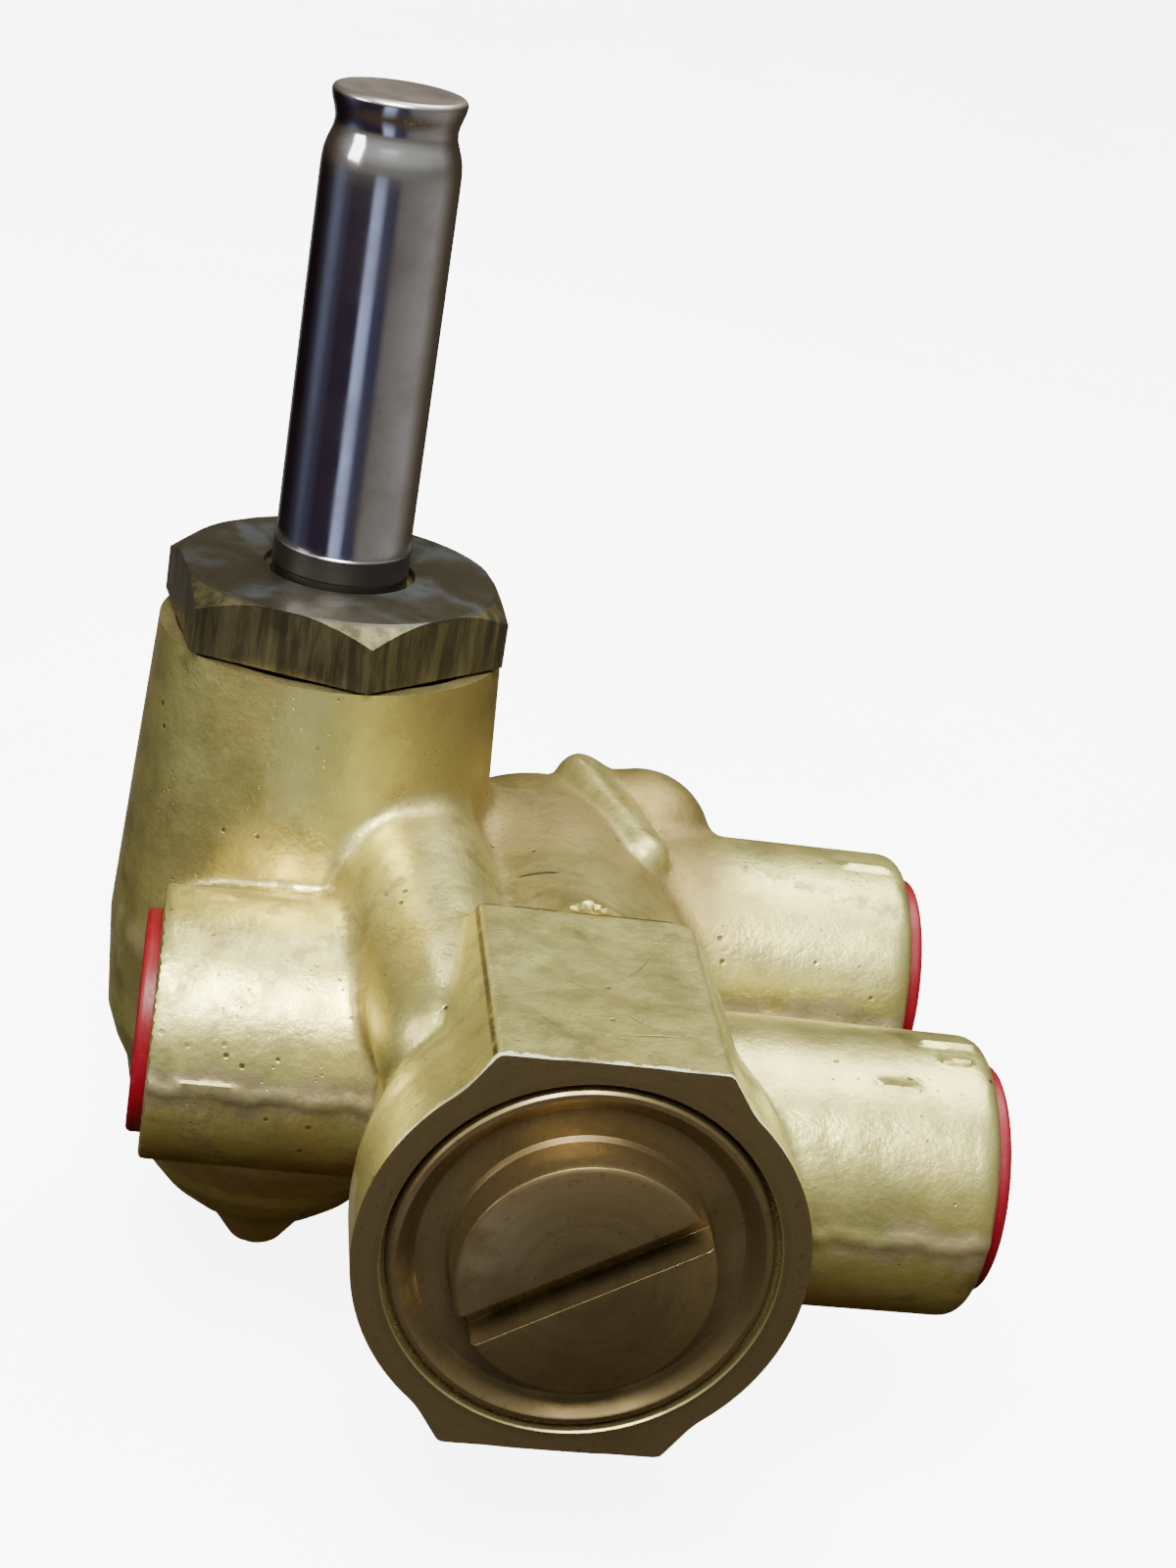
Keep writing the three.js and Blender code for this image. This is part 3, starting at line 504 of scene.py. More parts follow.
def settle(points):
    """Moves each point onto the zero surface by two Newton steps, away from the trimmed ends."""
    inner = (points[:, 1] > -1.5) & (points[:, 2] < COLUMN_TOP + 1.5)
    small_step = 0.05
    for _ in range(2):
        p = points[inner].astype(np.float64)
        value = body_field(p)
        slope = np.empty_like(p)
        for axis in range(3):
            q = p.copy()
            q[:, axis] += small_step
            slope[:, axis] = (body_field(q) - value) / small_step
        size = np.maximum((slope ** 2).sum(1), 0.2)
        move = -value[:, None] * slope / size[:, None]
        points[inner] = p + np.clip(move, -0.35, 0.35)
    return points


def main_bore_cutter():
    """The cap's recess and thread, the cage's bore and the piston's bore."""
    recess = CAP_RECESS_R + 0.15
    return turned("main_bore_cutter", [
        (0, -6), (recess, -6), (recess, 0), (CAP_RECESS_R, 0.15), (CAP_RECESS_R, CAP_RECESS_DEPTH),
        *thread(CAP_BORE_R + 0.35, CAP_RECESS_DEPTH, CAP_BORE_DEPTH, CAP_THREAD, 0.35),
        (CAGE_R, CAP_BORE_DEPTH), (CAGE_R, CAGE_END), (PISTON_BORE_R, CAGE_END),
        (PISTON_BORE_R, PISTON_BORE_END), (0, PISTON_BORE_END),
    ], (0, 0, 0), "y")


def column_bore_cutter():
    """The relay's bore and the threaded bore above it, opened out at the rim."""
    rim = COLUMN_BORE_R + 1.6
    return turned("column_bore_cutter", [
        (0, RELAY_BORE_END - 3), (4, RELAY_BORE_END - 3), (RELAY_BORE_R, RELAY_BORE_END),
        (RELAY_BORE_R, COLUMN_STEP), (COLUMN_BORE_R, COLUMN_STEP),
        *thread(COLUMN_BORE_R + 0.35, COLUMN_STEP + 1, COLUMN_TOP - 1.6, COLUMN_THREAD, 0.35),
        (COLUMN_BORE_R + 0.3, COLUMN_TOP - 1.4), (rim, COLUMN_TOP), (rim, COLUMN_TOP + 9),
        (0, COLUMN_TOP + 9),
    ], (COLUMN_X, COLUMN_Y, 0), "z")


def socket_cutter(side, y):
    """A port's countersunk and threaded bore."""
    floor = PORT_REACH - PORT_BORE_DEPTH
    profile = [
        (0, PORT_REACH + 4), (PORT_MOUTH_R, PORT_REACH + 4), (PORT_MOUTH_R, PORT_REACH),
        (PORT_BORE_R + 0.4, PORT_REACH - PORT_MOUTH_DEPTH),
        *thread(PORT_BORE_R + 0.45, PORT_REACH - 1.3, floor + 1.5, PORT_THREAD, 0.45),
        (PORT_BORE_R, floor), (2.3, floor - 3), (0, floor - 3),
    ]
    return turned("socket_cutter", [(r, side * a) for r, a in profile], (0, y, 0), "x")


def slab(name, low, high):
    """A plain box used only as a cutter."""
    x0, y0, z0 = low
    x1, y1, z1 = high
    points = [(x0, y0, z0), (x1, y0, z0), (x1, y1, z0), (x0, y1, z0),
              (x0, y0, z1), (x1, y0, z1), (x1, y1, z1), (x0, y1, z1)]
    faces = [(0, 3, 2, 1), (4, 5, 6, 7), (0, 1, 5, 4), (1, 2, 6, 5), (2, 3, 7, 6), (3, 0, 4, 7)]
    return mesh_object(name, points, faces)


def forged_body():
    """The forging, faced at the front and on top of the column, and bored."""
    points, quads = forged_skin()
    body = mesh_object("forged_body", points, quads.tolist(), 60)
    outward(body)
    cut(body, slab("front_trim", (-60, -20, -60), (60, 0, 60)))
    reach = 30
    top_low = (COLUMN_X - reach, COLUMN_Y - reach, COLUMN_TOP)
    top_high = (COLUMN_X + reach, COLUMN_Y + reach, COLUMN_TOP + 46)
    cut(body, slab("top_trim", top_low, top_high))
    cut(body, main_bore_cutter())
    cut(body, column_bore_cutter())
    for side, y in PORTS:
        cut(body, socket_cutter(side, y))
    soften(body, 32)
    return body


# ---------- other pieces ----------
def end_cap():
    """The screwed cap: a chamfered rim, a raised slotted disc and a threaded skirt with a nose."""
    nose = CAP_BORE_DEPTH - 0.3
    rim = CAP_BORE_R - 0.1
    cap = turned("end_cap", [
        (0, CAP_FRONT), (CAP_DISC_R - 0.55, CAP_FRONT), (CAP_DISC_R - 0.1, CAP_FRONT + 0.25),
        (CAP_DISC_R, CAP_FRONT + 0.7), (CAP_DISC_R + 0.05, CAP_FLOOR - 0.5), (CAP_DISC_R + 0.4, CAP_FLOOR),
        (rim - 2.6, CAP_FLOOR), (rim - 2.2, CAP_FLOOR - 0.25), (rim - 1.0, 0.1), (rim - 0.8, 0.0),
        (rim - 0.35, 0.05), (rim - 0.1, 0.3), (rim, 0.7),
        *thread(rim + 0.1, 2.4, nose - 0.6, CAP_THREAD, 0.4),
        (rim - 0.6, nose), (CAGE_R - 2.5, nose), (CAGE_R - 2.5, nose + 3.0), (CAGE_R - 2.9, nose + 3.4),
        (4.1, nose + 3.4), (4.1, CAP_FLOOR + 1.2), (0, CAP_FLOOR + 1.2),
    ], (0, 0, 0), "y", 192)
    half_length = CAP_DISC_R * 1.02
    slot = slab("slot", (-half_length, CAP_FRONT - 3, -SLOT_WIDTH / 2),
                (half_length, CAP_FRONT + SLOT_DEPTH, SLOT_WIDTH / 2))
    turn = Matrix.Rotation(math.radians(-SLOT_ANGLE), 4, "Y")
    centre = Matrix.Translation(Vector((0, 0, shift[2])) / 1000)
    slot.data.transform(centre @ turn @ centre.inverted())
    cut(cap, slot)
    bevel(cap, 0.00018, 35)
    soften(cap, 30)
    return cap


def bevel(piece, width, angle):
    """Rounds the edges sharper than angle; width is in metres."""
    modifier = piece.modifiers.new("edges", "BEVEL")
    modifier.width = width
    modifier.segments = 2
    modifier.limit_method = "ANGLE"
    modifier.angle_limit = math.radians(angle)
    modifier.use_clamp_overlap = True


def hex_base():
    """The solenoid base: a hexagon chamfered on top, with a threaded shank and the tube's hole."""
    corner = HEX_FLATS / math.sqrt(3)
    flat = HEX_FLATS / 2
    bottom = COLUMN_TOP + 0.3
    sides = 6
    turn = np.radians(HEX_TURN + 60 * np.arange(sides))
    ring = np.stack([COLUMN_X + corner * np.cos(turn), COLUMN_Y + corner * np.sin(turn)], 1)
    points = [(x, y, bottom) for x, y in ring] + [(x, y, HEX_TOP) for x, y in ring]
    faces = [list(range(sides))[::-1], list(range(sides, 2 * sides))]
    faces += [[i, (i + 1) % sides, (i + 1) % sides + sides, i + sides] for i in range(sides)]
    base = mesh_object("hex_base", points, faces)
    column = (COLUMN_X, COLUMN_Y, 0)
    combine(base, turned("hex_chamfer", [
        (0, bottom - 2), (corner + 1, bottom - 2), (corner + 1, HEX_TOP - (corner + 1 - flat - 0.1) * 0.8),
        (flat + 0.1, HEX_TOP), (flat + 0.1, HEX_TOP + 2), (0, HEX_TOP + 2),
    ], column, "z", 192), "INTERSECT")
    relief = COLUMN_BORE_R + 1.2
    cut(base, turned("hex_under", [
        (relief, bottom - 1), (corner + 3, bottom - 1), (corner + 3, bottom + 0.1), (relief, bottom + 0.1),
    ], column, "z", SMALL_SIDES))
    shank_r = COLUMN_BORE_R - 0.1
    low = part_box("solenoid_base")[0].z * 1000 - shift[2]
    combine(base, turned("shank", [
        (0, low), (shank_r - 0.8, low), *thread(shank_r, low + 0.8, bottom - 1.0, COLUMN_THREAD, 0.35),
        (shank_r - 0.8, bottom - 0.6), (shank_r - 0.8, bottom + 1.5), (0, bottom + 1.5),
    ], column, "z", SMALL_SIDES), "UNION")
    hole = TUBE_R + 0.1
    mouth = TUBE_R + 0.9
    cut(base, turned("hole", [
        (0, low - 1), (shank_r - 3, low - 1), (shank_r - 3, 30), (9.1, 30), (9.1, 32.3), (hole, 32.3),
        (hole, HEX_TOP - 0.8), (mouth, HEX_TOP - 0.8), (mouth, HEX_TOP + 1), (0, HEX_TOP + 1),
    ], column, "z", SMALL_SIDES))
    bevel(base, 0.00025, 25)
    soften(base, 25)
    return base


def tube():
    """The drawn core tube: flanged foot, a low collar above the hexagon, and a necked head."""
    inner = TUBE_R - 0.64
    head_inner = TUBE_R - 1.6
    flange = 31.0
    neck = (   # distance below the top, distance inside the tube's radius
        (1.2, 0.36), (2.0, 0.62), (2.8, 0.86), (3.4, 0.93), (4.1, 0.86), (4.9, 0.6), (5.6, 0.34),
        (6.5, 0.12), (7.6, 0.02), (9.0, 0.0),
    )
    return turned("drawn_tube", [
        (0, TUBE_TOP - 0.25), (2.5, TUBE_TOP - 0.2), (TUBE_R - 1.6, TUBE_TOP - 0.05),
        *arc((TUBE_R - 0.95, TUBE_TOP - 0.65), 0.65, 80, -15, 8),
        *[(TUBE_R - inside, TUBE_TOP - below) for below, inside in neck],
        (TUBE_R, HEX_TOP + 3.2), (TUBE_R + 0.12, HEX_TOP + 3.0), (TUBE_R + 0.12, HEX_TOP + 0.6),
        (TUBE_R, HEX_TOP + 0.4), (TUBE_R, flange + 1.2), (9, flange + 1.2), (9, flange), (inner, flange),
        (inner, TUBE_TOP - 8.4), (head_inner, TUBE_TOP - 8.4), (head_inner, TUBE_TOP - 5.1),
        (0, TUBE_TOP - 5.1),
    ], (COLUMN_X, COLUMN_Y, 0), "z", SIDES, 30)


def port_plug(name, side, y):
    """A hollow push-in cap with a ribbed skirt, its flange resting in the port's countersunk mouth."""
    outer = PORT_BORE_R - 0.25
    inner = outer - PLUG_WALL
    seat_share = (PORT_MOUTH_R - PLUG_FLANGE_R) / (PORT_MOUTH_R - PORT_BORE_R)
    face = PORT_REACH - PORT_MOUTH_DEPTH * seat_share + 0.1
    tip = PORT_REACH - PLUG_LENGTH
    top = face + PLUG_FLANGE_THICK
    floor = tip + PLUG_WALL
    profile = [
        (0, tip), (outer - 1.0, tip), (outer - 0.6, tip + 0.4),
        *thread(outer, tip + 1.5, PORT_REACH - 1.2, PORT_THREAD, 0.4),
        (outer - 0.4, face), (PLUG_FLANGE_R - 0.1, face), (PLUG_FLANGE_R, face + 0.1),
        (PLUG_FLANGE_R, top - 0.7),
        *arc((PLUG_FLANGE_R - 0.6, top - 0.6), 0.6, 0, 90, 6),
        (inner + 0.5, top), (inner + 0.1, top - 0.3), (inner, top - 0.8), (inner - 0.3, floor + 0.6),
        (inner - 1.0, floor), (2.2, floor), (1.9, floor + 0.25), (0, floor + 0.3),
    ]
    return turned(name, [(r, side * a) for r, a in profile], (0, y, 0), "x", SMALL_SIDES, 35)


def coil_spring(node, wire, turns):
    """A round-wire spring in its node's place, its end coils nearly closed; wire is the wire's radius."""
    low, high = (np.array(p) * 1000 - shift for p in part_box(node))
    centre = (low + high) / 2
    radius = (high[0] - low[0]) / 2 - wire
    steps, sides = int(turns * 36), 12
    turn = np.linspace(0, turns, steps + 1)
    closed = 2 * wire + 0.1
    level = np.interp(turn, [0, 1, turns - 1, turns],
                      [low[2] + wire, low[2] + wire + closed, high[2] - wire - closed, high[2] - wire])
    around = np.linspace(0, 2 * math.pi, sides, endpoint=False)
    across = radius + wire * np.cos(around)
    angle = 2 * math.pi * turn[:, None]
    points = np.stack([centre[0] + across * np.cos(angle), centre[1] + across * np.sin(angle),
                       level[:, None] + wire * np.sin(around)], -1).reshape(-1, 3)
    faces = [list(range(sides)), [steps * sides + k for k in range(sides)]]
    for i in range(steps):
        for k in range(sides):
            a, b = i * sides + k, i * sides + (k + 1) % sides
            faces.append((a, b, b + sides, a + sides))
    piece = mesh_object(node + "_wire", points, faces)
    outward(piece)
    return piece


# ---------- materials ----------
class Look:
    """A node material on a Principled shader, with helpers that build patterns from object coordinates."""

    def __init__(self, name, metallic, roughness):
        self.material = bpy.data.materials.new(name)
        self.material.use_nodes = True
        self.nodes = self.material.node_tree.nodes
        self.links = self.material.node_tree.links
        self.shader = self.nodes["Principled BSDF"]
        self.shader.inputs["Metallic"].default_value = metallic
        self.shader.inputs["Roughness"].default_value = roughness
        self.coordinates = self.nodes.new("ShaderNodeTexCoord").outputs["Object"]
        self.bumped = None

    def place(self, scale=(1, 1, 1), rotation=(0, 0, 0), location=(0, 0, 0)):
        node = self.nodes.new("ShaderNodeMapping")
        self.links.new(self.coordinates, node.inputs["Vector"])
        node.inputs["Scale"].default_value = scale
        node.inputs["Rotation"].default_value = rotation
        node.inputs["Location"].default_value = location
        return node.outputs["Vector"]

    def noise(self, size_mm, detail=4.0, rough=0.55, vector=None, distortion=0.0):
        node = self.nodes.new("ShaderNodeTexNoise")
        node.inputs["Scale"].default_value = 1000.0 / size_mm
        node.inputs["Detail"].default_value = detail
        node.inputs["Roughness"].default_value = rough
        node.inputs["Distortion"].default_value = distortion
        self.links.new(vector or self.coordinates, node.inputs["Vector"])
        return node.outputs["Fac"]

    def cells(self, size_mm):
        node = self.nodes.new("ShaderNodeTexVoronoi")
        node.inputs["Scale"].default_value = 1000.0 / size_mm
        self.links.new(self.coordinates, node.inputs["Vector"])
        return node.outputs["Distance"]

    def ramp(self, value, low, high, out_low=0.0, out_high=1.0, smooth=True):
        node = self.nodes.new("ShaderNodeMapRange")
        node.interpolation_type = "SMOOTHSTEP" if smooth else "LINEAR"
        self.links.new(value, node.inputs["Value"])
        node.inputs["From Min"].default_value = low
        node.inputs["From Max"].default_value = high
        node.inputs["To Min"].default_value = out_low
        node.inputs["To Max"].default_value = out_high
        return node.outputs["Result"]

    def maths(self, operation, a, b=0.0):
        node = self.nodes.new("ShaderNodeMath")
        node.operation = operation
        for socket, value in zip(node.inputs, (a, b)):
            if isinstance(value, (int, float)):
                socket.default_value = value
            else:
                self.links.new(value, socket)
        return node.outputs[0]

    def times(self, first, *others):
        for other in others:
            first = self.maths("MULTIPLY", first, other)
        return first

    def larger(self, a, b):
        return self.maths("MAXIMUM", a, b)

    def mix(self, share, a, b):
        node = self.nodes.new("ShaderNodeMix")
        node.data_type = "RGBA"
        for socket, value in ((node.inputs[0], share), (node.inputs[6], a), (node.inputs[7], b)):
            if isinstance(value, (int, float)):
                socket.default_value = value
            elif isinstance(value, tuple):
                socket.default_value = (*value, 1.0)
            else:
                self.links.new(value, socket)
        return node.outputs[2]

    def axis(self, letter, vector=None):
        node = self.nodes.new("ShaderNodeSeparateXYZ")
        self.links.new(vector or self.coordinates, node.inputs[0])
        return node.outputs[letter]

    def past(self, letter, start, end, out_low=0.0, out_high=1.0):
        """Goes from out_low to out_high between two places on an axis, in millimetres."""
        origin = shift["XYZ".index(letter)]
        return self.ramp(self.axis(letter), (origin + start) / 1000, (origin + end) / 1000, out_low, out_high)

    def near(self, letter, place, within, fading):
        """1 within some millimetres of a place on an axis, and 0 from fading millimetres on."""
        origin = shift["XYZ".index(letter)]
        gap = self.maths("ABSOLUTE", self.maths("SUBTRACT", self.axis(letter), (origin + place) / 1000))
        return self.ramp(gap, within / 1000, fading / 1000, 1, 0)

    def attribute(self, name):
        node = self.nodes.new("ShaderNodeAttribute")
        node.attribute_name = name
        return node.outputs["Fac"]

    def scratches(self):
        """Thin curved scratches, in a few patches."""
        total = 0.0
        for turn, seed in ((0.4, 0.1), (1.5, 0.4), (2.4, 0.7)):
            spot = self.place(rotation=(0.2, 0.3, turn), location=(seed, seed, 0))
            bend = self.times(self.noise(16, 1, 0.5, spot), 1.3)
            line = self.maths("ADD", self.times(self.axis("X", spot), 110.0), bend)
            line = self.maths("ABSOLUTE", self.maths("SUBTRACT", self.maths("FRACT", line), 0.5))
            patch = self.ramp(self.noise(12, 3, 0.5, spot), 0.52, 0.62)
            total = self.larger(self.times(self.ramp(line, 0.004, 0.012, 1, 0), patch), total)
        return total

    def bump(self, height, depth_mm, strength=1.0):
        node = self.nodes.new("ShaderNodeBump")
        node.inputs["Strength"].default_value = strength
        node.inputs["Distance"].default_value = depth_mm / 1000.0
        self.links.new(height, node.inputs["Height"])
        if self.bumped is not None:
            self.links.new(self.bumped, node.inputs["Normal"])
        self.bumped = node.outputs["Normal"]

    def finish(self, color=None, roughness=None, metallic=None):
        if color is not None:
            self.links.new(color, self.shader.inputs["Base Color"])
        if roughness is not None:
            self.links.new(roughness, self.shader.inputs["Roughness"])
        if metallic is not None:
            self.links.new(metallic, self.shader.inputs["Metallic"])
        if self.bumped is not None:
            self.links.new(self.bumped, self.shader.inputs["Normal"])
        return self.material


def stained_and_shaded_rear(look):
    """The rear of the barrel and its lump darkened brown, partly a stain and partly painted shade; the rib is
    left out of it.
    """
    off_rib = look.maths("SUBTRACT", 1.0, look.attribute("on_rib"))
    return look.times(look.past("Y", 33, 60), look.near("X", 0, 17, 23), 0.9, off_rib)


def pits(look):
    """Small pits and smaller specks, in patches."""
    pit = look.times(look.ramp(look.cells(3.2), 0.05, 0.12, 1, 0), look.ramp(look.noise(9, 2), 0.46, 0.58))
    speck = look.times(look.ramp(look.cells(1.1), 0.07, 0.15, 1, 0), look.ramp(look.noise(6, 2), 0.5, 0.62))
    return look.larger(pit, look.times(speck, 0.7))


def seam_flash(look):
    """A ragged band of trimmed flash along the parting plane."""
    from_seam = look.maths("ABSOLUTE", look.maths("SUBTRACT", look.axis("Z"), shift[2] / 1000))
    wander = look.ramp(look.noise(5, 4, 0.6), 0.3, 0.7, -0.0020, 0.0014, False)
    ragged = look.maths("ADD", from_seam, wander)
    return look.times(look.ramp(ragged, 0.0014, 0.0021, 1, 0), look.ramp(look.noise(9, 2), 0.36, 0.46))


def pad_scratches(look):
    on_pad = look.past("Z", PAD_TOP - 0.4, PAD_TOP - 0.1)
    not_above = look.past("Z", PAD_TOP + 0.1, PAD_TOP + 0.4, 1, 0)
    return look.times(look.scratches(), on_pad, not_above)


def pad_outline(look):
    """Dark lines along the upper pad's rear and left edges, painted shade where the pad's flat falls away,
    and a short fold in the metal behind it.
    """
    rear_edge = look.times(look.near("Y", PAD_LENGTH - 0.35, 0.12, 0.36), look.near("X", 0, 11.2, 11.8))
    left_edge = look.times(look.near("X", -PAD_HALF - 0.35, 0.08, 0.30),
                           look.past("Y", PAD_LENGTH, PAD_LENGTH + 0.4, 1, 0))
    edges = look.times(look.larger(rear_edge, left_edge), look.past("Z", PAD_TOP - 1.2, PAD_TOP - 0.8),
                       look.ramp(look.noise(3, 3), 0.3, 0.5))
    fold = look.times(look.near("Y", 47.2, 0.12, 0.40), look.past("Z", 15, 16), look.near("X", -3, 1.6, 2.4))
    return look.larger(edges, fold)


def burr_and_edge_highlight(look):
    """A thin bright band along the upper edge of the faced front: a burr, and a painted highlight where the
    edge catches the light from above.
    """
    wander = look.ramp(look.noise(1.3, 4, 0.7), 0.3, 0.7, -0.0004, 0.0005, False)
    edge = look.maths("ADD", look.axis("Y"), wander)
    edge = look.ramp(edge, (shift[1] + 0.35) / 1000, (shift[1] + 0.65) / 1000, 1, 0)
    return look.times(edge, look.past("Z", 8, 13), look.ramp(look.noise(4, 3), 0.36, 0.50, 0.35, 1))


def forged_brass():
    look = Look("forged_brass", BRASS_METALLIC, 0.36)
    cloud = look.noise(4.5, 4, 0.6)
    grain = look.noise(0.5, 3, 0.6)
    tone = look.noise(18, 4, 0.6, look.place(location=(0.3, 0.1, 0.2)))
    smoke = look.noise(9, 5, 0.65, look.place(location=(0.7, 0.5, 0.4)))
    # darker in the fillets as painted shade, and rougher there
    crease = look.times(look.attribute("crease"), look.ramp(look.noise(1.3, 4, 0.65), 0.35, 0.6))
    rear_stain_shade, marks, flash = stained_and_shaded_rear(look), pits(look), seam_flash(look)
    scratch, burr_highlight = pad_scratches(look), burr_and_edge_highlight(look)
    color = look.mix(look.ramp(look.noise(14, 5, 0.6), 0.35, 0.68), (0.60, 0.55, 0.20), (0.50, 0.43, 0.165))
    for share, tint in (
        (look.ramp(cloud, 0.50, 0.76, 0, 0.55), (0.30, 0.235, 0.07)),
        (look.ramp(grain, 0.5, 0.75, 0, 0.35), (0.68, 0.64, 0.26)),
        (look.ramp(smoke, 0.54, 0.70, 0, 0.6), (0.25, 0.19, 0.075)),
        (look.ramp(tone, 0.46, 0.66, 0, 0.4), (0.50, 0.36, 0.10)),
        # painted shade, partly a brown stain, on the rear of the barrel and its lump
        (rear_stain_shade, (0.25, 0.178, 0.064)),
        (look.times(marks, 0.85), (0.06, 0.045, 0.02)),
        # painted shade in the fillets
        (look.ramp(crease, 0.2, 0.9, 0, 0.5), (0.20, 0.155, 0.08)),
        (look.times(flash, 0.7), (0.30, 0.235, 0.15)),
        (look.times(scratch, 0.7), (0.13, 0.10, 0.05)),
        # painted shade along the pad's rear and left edges, with the dark fold behind the pad
        (look.times(pad_outline(look), 0.9), (0.07, 0.05, 0.025)),
        # painted highlight, partly a real burr, along the upper edge of the faced front
        (look.times(burr_highlight, 0.9), (0.80, 0.78, 0.66)),
    ):
        color = look.mix(share, color, tint)
    rough = look.ramp(cloud, 0.3, 0.75, 0.29, 0.44)
    for rougher in (look.larger(flash, crease), rear_stain_shade):
        rough = look.maths("ADD", rough, look.times(rougher, 0.16))
    look.bump(look.noise(0.16, 2, 0.5), 0.010, 0.5)
    look.bump(grain, 0.05, 0.7)
    look.bump(cloud, 0.25, 0.7)
    look.bump(look.maths("SUBTRACT", 0.0, look.larger(marks, look.times(scratch, 0.3))), 0.10, 0.7)
    # less metallic along the painted edge highlight
    return look.finish(color, rough, look.maths("SUBTRACT", BRASS_METALLIC, look.times(burr_highlight, 0.5)))


def turned_brass(name, light, dark, roughness):
    """Machined brass with fine concentric tool marks about the main bore."""
    look = Look(name, 0.9, roughness)
    squares = []
    for letter, centre in (("X", shift[0]), ("Z", shift[2])):
        squares.append(look.maths("POWER", look.maths("SUBTRACT", look.axis(letter), centre / 1000), 2.0))
    radius = look.nodes.new("ShaderNodeCombineXYZ")
    look.links.new(look.maths("SQRT", look.maths("ADD", *squares)), radius.inputs[0])
    rings = look.noise(0.28, 3, 0.6, radius.outputs[0])
    wide = look.noise(2.2, 3, 0.6, radius.outputs[0])
    cloud = look.noise(6, 5, 0.6)
    specks = look.ramp(look.noise(0.7, 3, 0.7), 0.60, 0.72)
    color = look.mix(look.ramp(cloud, 0.35, 0.7), light, dark)
    color = look.mix(look.ramp(wide, 0.35, 0.7, 0, 0.3), color, tuple(c * 0.6 for c in dark))
    color = look.mix(look.times(specks, 0.4), color, tuple(c * 0.35 for c in dark))
    look.bump(rings, 0.02, 0.6)
    look.bump(look.noise(1.4, 4, 0.6), 0.03, 0.5)
    return look.finish(color, look.ramp(cloud, 0.3, 0.7, roughness - 0.06, roughness + 0.12))


def hex_bronze():
    """Tarnished metal, streaked down the flats and clouded on top."""
    look = Look("hex_bronze", 0.85, 0.36)
    streaks = look.noise(1.3, 4, 0.65, look.place(scale=(1, 1, 0.10)))
    oxide = look.noise(8, 4, 0.55, None, 0.4)
    blotch = look.noise(3.5, 5, 0.6)
    fine = look.noise(0.45, 4, 0.65)
    top = look.past("Z", HEX_TOP - 0.4, HEX_TOP - 0.1)
    sides = look.mix(look.ramp(streaks, 0.36, 0.66), (0.145, 0.122, 0.062), (0.060, 0.049, 0.028))
    crown = look.mix(look.ramp(oxide, 0.50, 0.66), (0.072, 0.061, 0.044), (0.088, 0.094, 0.102))
    crown = look.mix(look.ramp(blotch, 0.54, 0.72, 0, 0.6), crown, (0.050, 0.038, 0.027))
    color = look.mix(top, sides, crown)
    color = look.mix(look.ramp(fine, 0.60, 0.74, 0, 0.45), color, (0.045, 0.035, 0.025))
    look.bump(streaks, 0.04, 0.4)
    look.bump(fine, 0.02, 0.5)
    return look.finish(color, look.ramp(oxide, 0.35, 0.7, 0.30, 0.46))


def polished_tube():
    """Bright drawn steel with a browned head and a dark collar."""
    look = Look("polished_tube", 1.0, 0.1)
    drawn = look.noise(0.5, 4, 0.6, look.place(scale=(1, 1, 0.02)))
    cloud = look.noise(7, 4, 0.6)
    specks = look.ramp(look.noise(0.5, 3, 0.7), 0.66, 0.76)
    head = look.past("Z", TUBE_TOP - 0.7, TUBE_TOP - 0.2)
    collar = look.past("Z", HEX_TOP + 3.0, HEX_TOP + 3.3, 1, 0)
    color = look.mix(look.ramp(cloud, 0.4, 0.7), (0.66, 0.65, 0.72), (0.55, 0.52, 0.56))
    color = look.mix(look.times(specks, 0.35), color, (0.2, 0.17, 0.15))
    color = look.mix(look.times(head, 0.75), color, (0.34, 0.26, 0.22))
    color = look.mix(look.times(collar, 0.92), color, (0.055, 0.045, 0.038))
    rough = look.ramp(cloud, 0.3, 0.7, 0.09, 0.17)
    rough = look.maths("ADD", rough, look.times(look.larger(head, collar), 0.25))
    look.bump(drawn, 0.004, 0.5)
    look.bump(cloud, 0.05, 0.25)
    return look.finish(color, rough)


def red_plastic():
    look = Look("red_plastic", 0.0, 0.45)
    look.shader.inputs["Specular IOR Level"].default_value = 0.3
    cloud = look.noise(5, 3, 0.5)
    fine = look.noise(0.35, 3, 0.6)
    dust = look.ramp(look.noise(1.2, 5, 0.7), 0.58, 0.75)
    color = look.mix(look.ramp(cloud, 0.3, 0.7), (0.165, 0.002, 0.008), (0.125, 0.0015, 0.006))
    color = look.mix(look.times(dust, 0.10), color, (0.42, 0.18, 0.18))
    look.bump(fine, 0.012, 0.5)
    return look.finish(color, look.ramp(fine, 0.3, 0.7, 0.34, 0.48))


def lightly_mottled(name, metallic, light, dark, cloud_mm, fine_mm, stretch, depth_mm, rough):
    """Two close colours in clouds, and a fine grain in the surface."""
    look = Look(name, metallic, rough[0])
    fine = look.noise(fine_mm, 3, 0.6, look.place(scale=stretch))
    color = look.mix(look.ramp(look.noise(cloud_mm, 4, 0.6), 0.3, 0.7), light, dark)
    look.bump(fine, depth_mm, 0.5)
    return look.finish(color, look.ramp(fine, 0.3, 0.7, *rough))


def copper():
    look = Look("plain_copper", 1.0, 0.3)
    cloud = look.noise(1.5, 4, 0.6)
    color = look.mix(look.ramp(cloud, 0.3, 0.7), (0.70, 0.30, 0.17), (0.42, 0.17, 0.10))
    look.bump(cloud, 0.02, 0.4)
    return look.finish(color, look.ramp(cloud, 0.3, 0.7, 0.25, 0.42))


